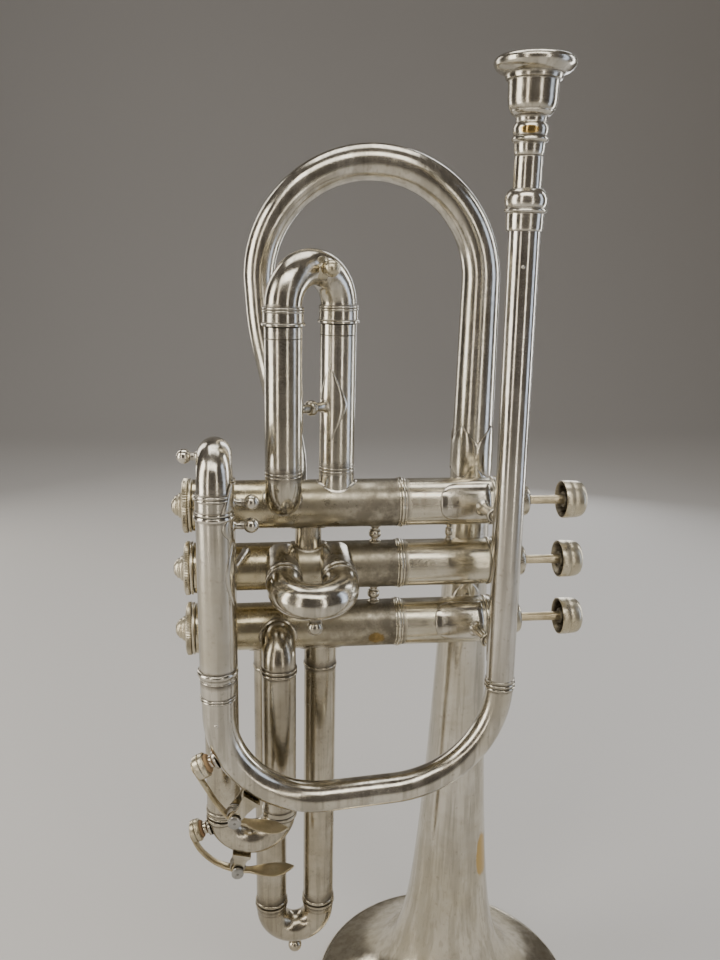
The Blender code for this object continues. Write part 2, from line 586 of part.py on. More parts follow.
# ---- valve 3 slide -----------------------------------------------------------
for name, x in (("slide3_tube_left", S3X[0]), ("slide3_tube_right", S3X[1])):
    r = Route([line((x, 0, z3 - 4.0), (x, 0, S3_BOT))], EX)
    obj = tube(name, r, [(0, TUBE_R - 0.1), (r.length - 1.6, TUBE_R - 0.1), (r.length - 1.4, TUBE_R + 0.3), (r.length, TUBE_R + 0.3)],
               [(0, TUBE_BORE), (r.length, TUBE_BORE)], DULL, NT)
    cut(obj, casing_tool(2, 0.3))
obj, route, apex, ref = crook("slide3_crook", (S3X[0], 0, S3_BOT), (S3X[1], 0, S3_BOT), (0, 0, -1), 4.0, 0, 45.0, 3.4, DULL, 6.05, ring=0.5,
                              pivot=(S3X[0], 0, S3_BOT))
weld(obj, ball_knob("knob", apex + np.array((0, 0, -5.2)), (0, 0, -1), 2.4, 2.8))

# ---- bell --------------------------------------------------------------------
def bell_radius(h):
    """Outside radius of the bell at height h above its rim."""
    return 5.0 + 18.5 * math.exp(-h / 145.0) + 35.6 * math.exp(-(h - 2.0) / 13.5)


BELL_TOP = 34.0
prof_out = []
for h in (2.2, 5.0, 9.5, 16.0, 25.0, 38.0, 60.0, 100.0, 165.0, BELL_TOP - RIM_Z):
    prof_out.append((RIM_Z + h, bell_radius(h)))
rim = [(RIM_Z + 1.7, RIM_R - 0.5), (RIM_Z + 0.5, RIM_R), (RIM_Z, RIM_R - 0.5), (RIM_Z, RIM_R - 2.1), (RIM_Z + 1.2, RIM_R - 2.6)]
WALL = 0.7
prof_in = [(z + 0.1, r - WALL - (0.5 if r > 30 else 0.0)) for z, r in prof_out]
turned("bell", (BELL_X, BELL_Y, 0), EZ, list(reversed(prof_out)) + rim + prof_in, SILVER, ND, ref=EX)

# bell bow: up from the stem, over, and down into the back of valve 1
bow_pts = [
    line((BELL_X, BELL_Y, BELL_TOP + 0.3), (BELL_X, BELL_Y, BOW_Z)),
    arc((BELL_X - BOW_R, BELL_Y, BOW_Z), BOW_R, EX, EZ, 0, 180),
    spline([(BELL_X - 2 * BOW_R, BELL_Y, BOW_Z), (28.2, BELL_Y, 86.0), (32.4, 27.6, 66.0), (36.0, 25.6, 50.0), (38.3, 20.5, 37.5), (38.5, 12.0, 28.6), (38.5, 5.0, 25.6)]),
]
bow = Route(bow_pts, EY)
m = bow.marks
e = bow.length
bell_bow_r = lambda s: float(np.interp(s, [0, m[1], m[2], e], [8.1, 7.2, 5.8, 5.7]))
stn = [(0, bell_bow_r(0)), (m[1], bell_bow_r(m[1])), (m[2], bell_bow_r(m[2])), (m[2] + 48, bell_bow_r(m[2] + 48)), (e, bell_bow_r(e))]
obj = tube("bell_bow", bow, stn, [(s, r - 0.6) for s, r in stn], SILVER, NT, bends=[(m[1], m[2], 9), (m[2] + 48, e, 4)])
cut(obj, casing_tool(0, 0.3))

turned("bell_ferrule", (BELL_X, BELL_Y, BELL_TOP), EZ, [
    (-5.0, 8.75), (-5.0, 9.05), (0.0, 8.95), (7.0, 8.75), (7.0, 8.45)], SILVER, NV, ref=EX)


for name, z, bell_at in (("bell_brace_upper", VALVE_Z[0], 8.3), ("bell_brace_lower", VALVE_Z[2], 8.9)):
    rb = bell_radius(z - RIM_Z)
    baluster(name, (110.2, CASING_R + 0.3, z), (110.2, BELL_Y - rb - 0.3, z), 1.8, 2.8)


# ---- braces from the casings to the leadpipe and the tuning slide -------------
def shell_patch(name, base, axis, zero, r0, r1, stations, look, k=3):
    """Curved plate on a cylinder: stations are (distance along axis, low and high angle from zero)."""
    axis = np.array(axis, float) / np.linalg.norm(axis)
    zero = np.array(zero, float)
    zero = zero - axis * np.dot(axis, zero)
    zero /= np.linalg.norm(zero)
    third = np.cross(axis, zero)
    base = np.array(base, float)
    bm = bmesh.new()
    grid = []
    for r in (r0, r1):
        rows = []
        for s, lo, hi in stations:
            row = []
            for i in range(k + 1):
                a = math.radians(lo + (hi - lo) * i / k)
                row.append(bm.verts.new(tuple(base + axis * s + r * (math.cos(a) * zero + math.sin(a) * third))))
            rows.append(row)
        grid.append(rows)
    ins, outs = grid
    rows = len(stations)
    for i in range(rows - 1):
        for j in range(k):
            bm.faces.new((ins[i][j], ins[i][j + 1], ins[i + 1][j + 1], ins[i + 1][j]))
            bm.faces.new((outs[i][j], outs[i + 1][j], outs[i + 1][j + 1], outs[i][j + 1]))
        bm.faces.new((ins[i][0], ins[i + 1][0], outs[i + 1][0], outs[i][0]))
        bm.faces.new((ins[i][k], outs[i][k], outs[i + 1][k], ins[i + 1][k]))
    for j in range(k):
        bm.faces.new((ins[0][j], outs[0][j], outs[0][j + 1], ins[0][j + 1]))
        bm.faces.new((ins[-1][j], ins[-1][j + 1], outs[-1][j + 1], outs[-1][j]))
    return from_bmesh(name, bm, look)


def lead_x(z):
    return LEAD_X0 + (LEAD_X1 - LEAD_X0) * (z - LEAD_Z0) / (LEAD_Z1 - LEAD_Z0)


lead_dir = np.array((LEAD_X1 - LEAD_X0, 0, LEAD_Z1 - LEAD_Z0))
lead_dir /= np.linalg.norm(lead_dir)
for name, z, lo, hi, up, down in (("lead_brace_upper", VALVE_Z[0], -42, 64, 17.0, 20.0), ("lead_brace_lower", VALVE_Z[2], -36, 74, 16.0, 6.6)):
    plate = shell_patch(name, (0, 0, z), EX, (0, -1, 0), CASING_R + 0.35, CASING_R + 1.25,
                        [(91.0, -hi * 0.45, -lo * 0.2), (93.5, -hi * 0.85, -lo * 0.8), (97.0, -hi, -lo), (110.5, -hi, -lo)], SILVER, 4)
    xl = lead_x(z)
    post = rod("tool", (107.6, -CASING_R - 0.8, z), (xl, MPY + LEAD_R + 0.6, z), 2.0, 8)
    leaf = shell_patch("tool", (xl, MPY, z), lead_dir, (0, 1, 0), LEAD_R + 0.55, LEAD_R + 1.25,
                       [(-down, -8, 8), (-down * 0.5, -52, 52), (0, -76, 76), (up * 0.5, -52, 52), (up, -8, 8)], SILVER, 5)
    weld(plate, post)
    weld(plate, leaf)

tb_b = np.array((22.0, -CASING_R, 4.6))
plate = shell_patch("tuning_brace", (*T1, 10.8), EZ, (1, 0.3, 0), TUBE_R + 0.3, TUBE_R + 0.95,
                    [(-11.0, -6, 6), (-6.0, -34, 34), (0, -46, 46), (6.0, -34, 34), (11.0, -6, 6)], SILVER, 4)
post = rod("tool", np.array((T1[0] + TUBE_R + 0.55, T1[1] + 2.6, 10.8)), tb_b + np.array((0, 0.6, 0)), 1.7, 8)
cut(post, casing_tool(1, 0.3))
weld(plate, post)

# ball posts beside the front tuning tube: one rides on the slide, one is fixed
for name, z, r in (("tuning_post_slide", 34.6, TUBE_R + 0.5), ("tuning_post_fixed", 26.9, TUBE_R)):
    ball_knob(name, (T1[0] + r + 0.3, T1[1], z), EX, 3.4, 2.6, root=0.0)


# ---- water keys ----------------------------------------------------------------
def water_key(tag, centre, r_tube, cup_at, hinge_at, hinge_r, tail, y, look, cork_r, cup_len):
    """A sprung lever on two ears, with a corked cup that closes a nipple on the bend's outer side."""
    cx, cz = centre

    def polar(deg, r, yy=y):
        a = math.radians(deg)
        return np.array((cx + r * math.cos(a), yy, cz + r * math.sin(a)))

    out = polar(cup_at, 1.0) - np.array((cx, y, cz))
    r0 = r_tube + 0.3
    nip = turned(tag + "_nipple", polar(cup_at, r0), out, [(0, 1.3), (0, 3.0), (0.6, 2.5), (2.2, 2.2), (2.2, 1.3)], SILVER, 8, ref=EY)
    turned(tag + "_cork", polar(cup_at, r0 + 2.45), out, [(0, 0), (0, cork_r), (1.6, cork_r), (1.6, 0)], CORK, 8, ref=EY, closed=False,
           pivot=tuple(polar(hinge_at, hinge_r)))
    c0 = r0 + 2.45 + 1.9
    hinge = polar(hinge_at, hinge_r)
    # lever strip: over the cup, round the bend, under the barrel and out to a leaf-shaped touch piece
    track = c0 + cup_len
    ctrl = [polar(cup_at - 3.5, track - 0.1), polar(cup_at + (hinge_at - cup_at) * 0.35, track + 0.5),
            polar(cup_at + (hinge_at - cup_at) * 0.7, (track + hinge_r + 2.0) / 2 + 0.5), polar(hinge_at, hinge_r + 2.0)]
    ctrl += [np.array((tx, y, tz)) for tx, tz in tail]
    route = Route([spline(ctrl, 14)], EY)
    loops = []
    e = route.length
    near = min(range(len(route.p)), key=lambda i: np.linalg.norm(route.p[i] - ctrl[3]))
    sh = route.s[near]
    for s, w, t in ((0, 1.8, 0.5), (2.0, 3.2, 0.6), (sh * 0.4, 2.0, 0.65), (sh * 0.75, 1.8, 0.7), (sh, 2.4, 0.7), (sh + (e - sh) * 0.25, 2.0, 0.6),
                    (sh + (e - sh) * 0.6, 3.9, 0.5), (sh + (e - sh) * 0.85, 3.2, 0.5), (e, 0.8, 0.4)):
        p, tt, u, v = route.at(s)
        loops.append([p + u * w + v * t, p - u * w + v * t, p - u * w - v * t, p + u * w - v * t])
    bm = bmesh.new()
    rings = [[bm.verts.new(tuple(q)) for q in loop] for loop in loops]
    for a_, b_ in zip(rings[:-1], rings[1:]):
        for k in range(4):
            j = (k + 1) % 4
            bm.faces.new((a_[k], b_[k], b_[j], a_[j]))
    bm.faces.new(rings[0])
    bm.faces.new(rings[-1])
    lever = from_bmesh(tag + "_lever", bm, look, tuple(hinge))
    cup = turned("tool", polar(cup_at, c0), out, [(0, 0), (0, cork_r + 0.6), (0.5, cork_r + 1.1), (cup_len - 0.8, cork_r + 0.9), (cup_len, cork_r * 0.7), (cup_len, 0)],
                 look, 10, ref=EY, closed=False)
    weld(lever, cup)
    barrel = turned("tool", (hinge[0], y - 2.8, hinge[2]), EY, [(0, 1.25), (0, 2.15), (5.6, 2.15), (5.6, 1.25)], look, 10, ref=EX)
    weld(lever, barrel)
    # ears and hinge screw
    rad = polar(hinge_at, 1.0) - np.array((cx, y, cz))
    tan = np.cross(rad, EY)
    foot = polar(hinge_at, r0 + 0.85)
    base = slab(tag + "_saddle", [(-3.4, -4.4), (3.4, -4.4), (3.4, 4.4), (-3.4, 4.4)], rad, 1.3, foot, tan, SILVER)
    tall = hinge_r - (r0 + 0.85)
    for side_y in (-3.75, 3.75):
        ear = slab("tool", [(-3.0, -0.2), (3.0, -0.2), (2.0, tall - 1.0), (1.9, tall + 1.0), (0.8, tall + 2.0), (-0.8, tall + 2.0), (-1.9, tall + 1.0), (-2.0, tall - 1.0)],
                   (0, -1, 0), 1.1, foot + np.array((0, side_y, 0)), tan if np.dot(np.cross((0, -1, 0), tan), rad) > 0 else -tan, SILVER)
        weld(base, ear)
    pin = turned("tool", (hinge[0], y - 5.6, hinge[2]), EY, [(0, 0), (0, 2.2), (1.0, 2.2), (1.0, 0.9), (10.2, 0.9), (10.2, 0)], STEEL, 10, ref=EX, closed=False)
    weld(base, pin)
    return hinge


water_key("key1", (c1[0], c1[2]), BEND_L_R + 5.7, 206.3, 232.7, 51.0, [(20.5, -84.9), (27.5, -87.0), (34.4, -88.2)], MPY, BRASS, 3.4, 3.6)
water_key("key2", (low_c[0], LOW_C - 0.3), low_rad + 6.2, 197.5, 256.0, 23.6, [(23.0, -119.4), (30.5, -119.8), (37.5, -118.9)], T2[1], BRASS, 3.2, 3.0)
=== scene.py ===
import math

import bmesh
import bpy
import numpy as np
from mathutils import Matrix, Vector


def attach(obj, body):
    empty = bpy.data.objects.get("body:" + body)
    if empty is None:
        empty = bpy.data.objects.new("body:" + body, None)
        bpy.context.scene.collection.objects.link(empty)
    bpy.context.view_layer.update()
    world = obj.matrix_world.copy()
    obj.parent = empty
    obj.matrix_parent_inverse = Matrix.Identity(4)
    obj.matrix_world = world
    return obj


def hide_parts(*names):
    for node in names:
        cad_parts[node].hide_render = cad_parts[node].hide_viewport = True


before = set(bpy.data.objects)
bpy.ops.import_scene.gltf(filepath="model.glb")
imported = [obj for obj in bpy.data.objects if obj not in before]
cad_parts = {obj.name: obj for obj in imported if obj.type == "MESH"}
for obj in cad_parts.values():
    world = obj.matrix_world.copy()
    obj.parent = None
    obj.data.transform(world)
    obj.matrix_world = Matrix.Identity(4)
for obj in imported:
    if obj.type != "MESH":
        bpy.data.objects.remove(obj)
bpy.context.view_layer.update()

# ---- design frame, millimetres (X along the valves, Z up, -Y leadpipe side) --
O = (82.729, 20.887, -227.8)
EX, EY, EZ = (1, 0, 0), (0, 1, 0), (0, 0, 1)
VZ = (24.0, 0.0, -24.0)
CR = 8.85
TR = 6.25
T1, T2 = (10.8, -34.0), (11.0, -16.0)
S1F, S1R = (33.85, -16.0), (53.8, 0.0)
LOW_C, RETURN_X = -93.0, 32.0
LEAD_X0, LEAD_X1, LEAD_Z0, LEAD_Z1 = 109.7, 107.9, -33.9, 122.5
MPX, MPY = 107.8, -34.0
BX, BY, RIM_Z, RIM_R, BELL_TOP = 111.6, 28.0, -227.8, 60.3, 34.0
BOW_R, BOW_Z = 42.45, 103.4


def W(p):
    return ((p[0] - O[0]) / 1000, (p[1] - O[1]) / 1000, (p[2] - O[2]) / 1000)


def unit(v):
    v = np.array(v, float)
    return v / np.linalg.norm(v)


# ---- materials ---------------------------------------------------------------
def plate(name, light, dark, lo, hi, gold=(0.56, 0.38, 0.13), mottle=0.5, bump=0.25, metal=1.0, tint=None, stain=0.35, streak=0.0, along=(1.0, 1.0, 0.04)):
    m = bpy.data.materials.new(name)
    m.use_nodes = True
    t = m.node_tree
    n, l = t.nodes, t.links
    b = n["Principled BSDF"]
    b.inputs["Metallic"].default_value = metal
    co = n.new("ShaderNodeTexCoord")

    def noise(scale, detail, rough, stretch=None):
        x = n.new("ShaderNodeTexNoise")
        x.inputs["Scale"].default_value = scale
        x.inputs["Detail"].default_value = detail
        x.inputs["Roughness"].default_value = rough
        src = co.outputs["Object"]
        if stretch:
            mp = n.new("ShaderNodeMapping")
            mp.inputs["Scale"].default_value = stretch
            l.new(src, mp.inputs["Vector"])
            src = mp.outputs["Vector"]
        l.new(src, x.inputs["Vector"])
        return x.outputs["Fac"]

    def remap(src, a, c, d=0.0, e=1.0):
        x = n.new("ShaderNodeMapRange")
        x.interpolation_type = "SMOOTHSTEP"
        for k, v in zip(("From Min", "From Max", "To Min", "To Max"), (a, c, d, e)):
            x.inputs[k].default_value = v
        l.new(src, x.inputs["Value"])
        return x.outputs["Result"]

    def mth(op, a, c):
        x = n.new("ShaderNodeMath")
        x.operation = op
        for i, v in enumerate((a, c)):
            if isinstance(v, (int, float)):
                x.inputs[i].default_value = v
            else:
                l.new(v, x.inputs[i])
        return x.outputs[0]

    def mix(fac, a, c):
        x = n.new("ShaderNodeMix")
        x.data_type = "RGBA"
        l.new(fac, x.inputs["Factor"])
        for i, v in ((6, a), (7, c)):
            if isinstance(v, tuple):
                x.inputs[i].default_value = (*v, 1)
            else:
                l.new(v, x.inputs[i])
        return x.outputs[2]

    def attr(name):
        x = n.new("ShaderNodeAttribute")
        x.attribute_name = name
        return x.outputs["Fac"]

    big = noise(34, 5, 0.6)
    mid = noise(150, 6, 0.68)
    fine = noise(900, 4, 0.7)
    spots = remap(noise(520, 3, 0.6), 0.60, 0.74)
    blotch = remap(mid, 0.44, 0.70, 0.0, mottle)
    col = mix(remap(big, 0.36, 0.66), light, dark)
    col = mix(blotch, col, tint or tuple(0.62 * c for c in dark))
    if streak:
        band = remap(noise(190, 3, 0.55, along), 0.44, 0.60, 0.0, streak)
        col = mix(band, col, tuple(0.42 * c for c in dark))
        hair = remap(noise(700, 2, 0.5, along), 0.56, 0.64, 0.0, streak * 0.8)
        col = mix(hair, col, tuple(0.5 * c for c in dark))
    col = mix(mth("MULTIPLY", spots, stain), col, (0.13, 0.10, 0.06))
    goldf = remap(mth("ADD", attr("gold"), mth("MULTIPLY", mth("SUBTRACT", mid, 0.5), 0.9)), 0.42, 0.62)
    goldf = mth("MULTIPLY", goldf, remap(attr("gold"), 0.02, 0.2))
    col = mix(goldf, col, gold)
    olive = mth("MULTIPLY", attr("olive"), remap(big, 0.3, 0.7, 0.55, 1.0))
    col = mix(olive, col, (0.60, 0.51, 0.30))
    # near-black mix on the grime_and_shade attribute: partly tarnish at seams, partly painted shade in ring roots,
    # bores, recesses and under plates, standing in for occlusion
    grime_and_painted_shade = mth("MULTIPLY", attr("grime_and_shade"), remap(mid, 0.30, 0.62, 0.45, 1.0))
    col = mix(grime_and_painted_shade, col, (0.045, 0.032, 0.02))
    l.new(col, b.inputs["Base Color"])
    r = remap(mid, 0.3, 0.7, lo, hi)
    r = mth("ADD", r, mth("MULTIPLY", grime_and_painted_shade, 0.35))
    r = mth("ADD", r, mth("MULTIPLY", remap(fine, 0.55, 0.75), 0.06))
    l.new(r, b.inputs["Roughness"])
    scr = remap(noise(260, 2, 0.5, (1.0, 1.0, 0.10)), 0.52, 0.56)
    h = mth("ADD", mth("MULTIPLY", mid, 0.5), mth("MULTIPLY", fine, 0.22))
    h = mth("ADD", h, mth("MULTIPLY", scr, 0.05))
    h = mth("ADD", h, mth("MULTIPLY", big, 0.9))
    bp = n.new("ShaderNodeBump")
    bp.inputs["Strength"].default_value = bump
    bp.inputs["Distance"].default_value = 0.0006
    l.new(h, bp.inputs["Height"])
    l.new(bp.outputs["Normal"], b.inputs["Normal"])
    return m


SILVER = plate("silver_plate", (0.74, 0.70, 0.61), (0.60, 0.555, 0.45), 0.12, 0.24, mottle=0.18, bump=0.11, streak=0.42)
LEADS = plate("silver_scratched", (0.76, 0.725, 0.65), (0.62, 0.58, 0.50), 0.10, 0.20, mottle=0.18, bump=0.13, streak=0.48)
CASE = plate("silver_casing", (0.74, 0.69, 0.57), (0.60, 0.55, 0.42), 0.15, 0.26, mottle=0.16, bump=0.10, streak=0.22, along=(0.05, 1.0, 1.0))
DULL = plate("dull_plate", (0.62, 0.57, 0.46), (0.44, 0.39, 0.29), 0.16, 0.28, mottle=0.4, bump=0.18, streak=0.4)
BRASSY = plate("worn_brass", (0.70, 0.61, 0.42), (0.54, 0.45, 0.28), 0.26, 0.42, mottle=0.4)
CAPS = plate("cap_plate", (0.72, 0.66, 0.52), (0.54, 0.48, 0.34), 0.24, 0.38, mottle=0.45)
STEEL = plate("steel", (0.50, 0.49, 0.46), (0.34, 0.33, 0.30), 0.25, 0.4, mottle=0.4)
CORK = plate("cork", (0.42, 0.28, 0.15), (0.26, 0.16, 0.08), 0.75, 0.95, metal=0.0, mottle=0.6, bump=0.8)


# ---- routes and sweeps ---------------------------------------------------------
def line(a, b, k=24):
    a, b = np.array(a, float), np.array(b, float)
    return a + (b - a) * np.linspace(0, 1, k)[:, None]


def arc(c, r, e1, e2, a0, a1, k=90):
    c, e1, e2 = (np.array(v, float) for v in (c, e1, e2))
    t = np.radians(np.linspace(a0, a1, k))[:, None]
    return c + r * (np.cos(t) * e1 + np.sin(t) * e2)


def spline(ctrl, k=16):
    c = [np.array(p, float) for p in ctrl]
    c = [2 * c[0] - c[1]] + c + [2 * c[-1] - c[-2]]
    out = []
    for i in range(1, len(c) - 2):
        p0, p1, p2, p3 = c[i - 1:i + 3]
        t0 = 0.0
        t1 = t0 + max(np.linalg.norm(p1 - p0), 1e-6) ** 0.5
        t2 = t1 + max(np.linalg.norm(p2 - p1), 1e-6) ** 0.5
        t3 = t2 + max(np.linalg.norm(p3 - p2), 1e-6) ** 0.5
        for t in np.linspace(t1, t2, k, endpoint=False):
            a1 = (t1 - t) / (t1 - t0) * p0 + (t - t0) / (t1 - t0) * p1
            a2 = (t2 - t) / (t2 - t1) * p1 + (t - t1) / (t2 - t1) * p2
            a3 = (t3 - t) / (t3 - t2) * p2 + (t - t2) / (t3 - t2) * p3
            b1 = (t2 - t) / (t2 - t0) * a1 + (t - t0) / (t2 - t0) * a2
            b2 = (t3 - t) / (t3 - t1) * a2 + (t - t1) / (t3 - t1) * a3
            out.append((t2 - t) / (t2 - t1) * b1 + (t - t1) / (t2 - t1) * b2)
    out.append(c[-2])
    return np.array(out)


class Route:
    def __init__(self, pieces, ref):
        pts = [np.array(pieces[0][0], float)]
        self.marks = [0.0]
        length = 0.0
        for piece in pieces:
            for q in piece:
                d = np.linalg.norm(q - pts[-1])
                if d > 1e-6:
                    length += d
                    pts.append(np.array(q, float))
            self.marks.append(length)
        self.p = np.array(pts)
        seg = np.linalg.norm(np.diff(self.p, axis=0), axis=1)
        self.s = np.concatenate([[0.0], np.cumsum(seg)])
        t = np.gradient(self.p, self.s, axis=0)
        self.t = t / np.linalg.norm(t, axis=1)[:, None]
        u = np.array(ref, float)
        us = []
        for k in range(len(self.p)):
            u = u - self.t[k] * np.dot(u, self.t[k])
            u = u / np.linalg.norm(u)
            us.append(u.copy())
        self.u = np.array(us)
        self.length = self.s[-1]

    def at(self, s):
        p = np.array([np.interp(s, self.s, self.p[:, i]) for i in range(3)])
        if s < 0:
            p = self.p[0] + self.t[0] * s
        if s > self.length:
            p = self.p[-1] + self.t[-1] * (s - self.length)
        t = unit([np.interp(s, self.s, self.t[:, i]) for i in range(3)])
        u = np.array([np.interp(s, self.s, self.u[:, i]) for i in range(3)])
        u = unit(u - t * np.dot(u, t))
        return p, t, u, np.cross(t, u)


def sts(items):
    """Flattens stations to (s, r, grime_and_shade); the last value is tarnish plus painted shade."""
    out = []
    for q in items:
        if isinstance(q, list):
            out += sts(q)
        else:
            out.append((q[0], q[1], q[2] if len(q) > 2 else 0.0))
    return out


def bead(s, r, w, h):
    """Rounded ring with tarnish and painted shade in both roots."""
    out = [(s - w / 2 - 0.9, r, 0.0), (s - w / 2 - 0.12, r, 0.75), (s - w / 2, r + 0.02, 0.9)]
    for k in range(1, 8):
        a = math.pi * k / 8
        out.append((s - w / 2 * math.cos(a), r + h * math.sin(a) ** 0.7, 0.0))
    return out + [(s + w / 2, r + 0.02, 0.9), (s + w / 2 + 0.12, r, 0.75), (s + w / 2 + 0.9, r, 0.0)]


def scribe(s, r):
    return [(s - 0.5, r), (s - 0.16, r, 0.2), (s, r - 0.16, 0.95), (s + 0.16, r, 0.2), (s + 0.5, r)]


def fill(stations, step=3.0):
    """Adds stations so that no gap along a piece is longer than step."""
    out = [stations[0]]
    for q in stations[1:]:
        a = out[-1]
        k = int(abs(q[0] - a[0]) / step)
        for i in range(1, k + 1):
            t = i / (k + 1)
            out.append((a[0] + (q[0] - a[0]) * t, a[1] + (q[1] - a[1]) * t, a[2] + (q[2] - a[2]) * t))
        out.append(q)
    return out


def ring_pts(route, s, r, n, knurl=None):
    p, t, u, v = route.at(s)
    a = 2 * np.pi * (np.arange(n)) / n
    rr = r if knurl is None else r + knurl[1] * np.cos(a * knurl[0])
    rr = np.broadcast_to(rr, (n,))
    return p + (rr * np.cos(a))[:, None] * u + (rr * np.sin(a))[:, None] * v


def build(name, verts, faces, mat, grime_and_shade=None, gold=None, olive=None, angle=38):
    me = bpy.data.meshes.new(name)
    P = (np.array(verts, float) - np.array(O)) / 1000.0
    me.from_pydata(P.tolist(), [], faces)
    bm = bmesh.new()
    bm.from_mesh(me)
    bmesh.ops.recalc_face_normals(bm, faces=bm.faces[:])
    bm.to_mesh(me)
    bm.free()
    # grime_and_shade per vertex: tarnish at seams plus painted shade in roots, bores and recesses
    for nm, val in (("grime_and_shade", grime_and_shade), ("gold", gold), ("olive", olive)):
        a = me.attributes.new(nm, "FLOAT", "POINT")
        if val is not None:
            a.data.foreach_set("value", np.array(val, np.float32))
    me.shade_smooth()
    me.set_sharp_from_angle(angle=math.radians(angle))
    me.materials.append(mat)
    o = bpy.data.objects.new(name, me)
    bpy.context.scene.collection.objects.link(o)
    return o


GOLD = []    # (centre, radius, strength) patches where the plate is worn through


def gold_at(P):
    out = np.zeros(len(P))
    for c, r, k in GOLD:
        d = np.linalg.norm((P - np.array(c[0])) / np.array(c[1]), axis=1) if isinstance(c, tuple) and isinstance(c[0], tuple) else np.linalg.norm(P - np.array(c), axis=1) / r
        out = np.maximum(out, k * np.clip(1.3 - d, 0, 1))
    return out


def loft(name, rings, grime_and_shade_rows, closed, mat, olive=0.0, angle=38):
    verts, grime_shade_vals, idx = [], [], []
    for ring, g in zip(rings, grime_and_shade_rows):
        start = len(verts)
        verts += [tuple(q) for q in ring]
        grime_shade_vals += [g] * len(ring)
        idx.append(list(range(start, start + len(ring))))
    faces = []
    pairs = list(zip(idx[:-1], idx[1:])) + ([(idx[-1], idx[0])] if closed else [])
    for a, b in pairs:
        n = max(len(a), len(b))
        for k in range(n):
            j = (k + 1) % n
            if len(a) == 1:
                faces.append((a[0], b[k], b[j]))
            elif len(b) == 1:
                faces.append((a[k], b[0], a[j]))
            else:
                faces.append((a[k], b[k], b[j], a[j]))
    P = np.array(verts)
    ol = olive(P) if callable(olive) else np.full(len(P), olive)
    return build(name, verts, faces, mat, grime_shade_vals, gold_at(P), ol, angle)


def tube(name, route, outer, inner, mat, n=48, step=3.0, olive=0.0, bends=(), close=True):
    outer = fill(sts(outer), step)
    xs = [q[0] for q in outer]
    for s0, s1, k in bends:
        extra = []
        for s in np.linspace(s0, s1, k):
            if xs[0] + 0.1 < s < xs[-1] - 0.1 and min(abs(s - x) for x in xs) > 0.3:
                extra.append((float(s), float(np.interp(s, xs, [q[1] for q in outer])), float(np.interp(s, xs, [q[2] for q in outer]))))
        outer = sorted(outer + extra, key=lambda q: q[0])
    inner = sts(inner)
    rings = [ring_pts(route, s, r, n) for s, r, g in outer]
    grime_shade_vals = [g for s, r, g in outer]
    inn = fill(inner, 6.0) if not bends else [(q[0], float(np.interp(q[0], [z[0] for z in inner], [z[1] for z in inner])), 0.7) for q in outer[::2] + [outer[-1]]]
    inn = [q for q in inn if inner[0][0] <= q[0] <= inner[-1][0]]
    rings += [ring_pts(route, s, r, n) for s, r, g in reversed(inn)]
    # bore rings get 0.7: painted shade inside the tube
    grime_shade_vals += [0.7 for _ in inn]
    return loft(name, rings, grime_shade_vals, True, mat, olive)


def turned(name, base, axis, profile, mat, n=56, closed=True, olive=0.0, knurls=(), ref=None, step=3.0, angle=38):
    """profile: (distance along axis, radius[, grime_and_shade: tarnish plus painted shade]); knurls: (s0, s1, count,
    depth).
    """
    axis = unit(axis)
    if ref is None:
        ref = (0, 0, 1) if abs(axis[2]) < 0.9 else (1, 0, 0)
    route = Route([line(base, np.array(base) + 10 * axis, 3)], ref)
    pr = fill(sts(profile), step)
    rings, grime_shade_vals = [], []
    for s, r, g in pr:
        kn = next(((c, d) for a, b, c, d in knurls if a <= s <= b and r > 2), None)
        rings.append(ring_pts(route, s, r, n, kn) if r > 1e-6 else [np.array(base, float) + axis * s])
        grime_shade_vals.append(g)
    return loft(name, rings, grime_shade_vals, closed, mat, olive, angle)


def smooth(pts, k=6):
    """Rounded profile through (s, r) points."""
    return [(float(a), float(max(b, 0.0))) for a, b, _ in spline([(p[0], p[1], 0) for p in pts], k)]


def join(main, *others):
    bpy.ops.object.select_all(action="DESELECT")
    for o in (main, *others):
        o.select_set(True)
    bpy.context.view_layer.objects.active = main
    bpy.ops.object.join()
    return main


def rod(name, a, b, r, mat, n=20, r2=None):
    a, b = np.array(a, float), np.array(b, float)
    d = np.linalg.norm(b - a)
    r2 = r if r2 is None else r2
    return turned(name, a, b - a, [(0, 0), (0, r * 0.85), (0.15, r), (d - 0.15, r2), (d, r2 * 0.85), (d, 0)], mat, n, closed=False)


def knob(name, foot, axis, reach, ball, mat, root=1.2, flare=3.2):
    c = reach + ball * 0.85
    prof = [(-root, 0), (-root, flare), (0.0, flare, 0.4), (0.35, flare * 0.92), (0.7, flare * 0.66), (1.2, flare * 0.5), (reach * 0.62, 1.3), (reach * 0.8, 1.35, 0.6)]
    for a in range(-60, 85, 12):
        prof.append((c + ball * math.sin(math.radians(a)), ball * math.cos(math.radians(a)), 0.5 if a < -50 else 0.0))
    prof.append((c + ball, 0))
    return turned(name, foot, axis, prof, mat, 32, closed=False)


def baluster(name, a, b, r0, r1, mat, mid=1.0):
    a, b = np.array(a, float), np.array(b, float)
    d = np.linalg.norm(b - a)
    m = d / 2
    prof = [(0, 0), (0, r1, 0.6), (0.5, r1 * 0.95, 0.2), (1.0, r0 * 1.1), (1.5, r0), (m - 1.7, r0, 0.4)]
    for k in range(0, 9):
        t = math.pi * k / 8
        prof.append((m - 1.4 * math.cos(t), r0 + (r1 * 1.02 - r0) * math.sin(t) ** 0.6 * mid))
    prof += [(m + 1.7, r0, 0.4), (d - 1.5, r0), (d - 1.0, r0 * 1.1), (d - 0.5, r1 * 0.95, 0.2), (d, r1, 0.6), (d, 0)]
    return turned(name, a, b - a, prof, mat, 28, closed=False)


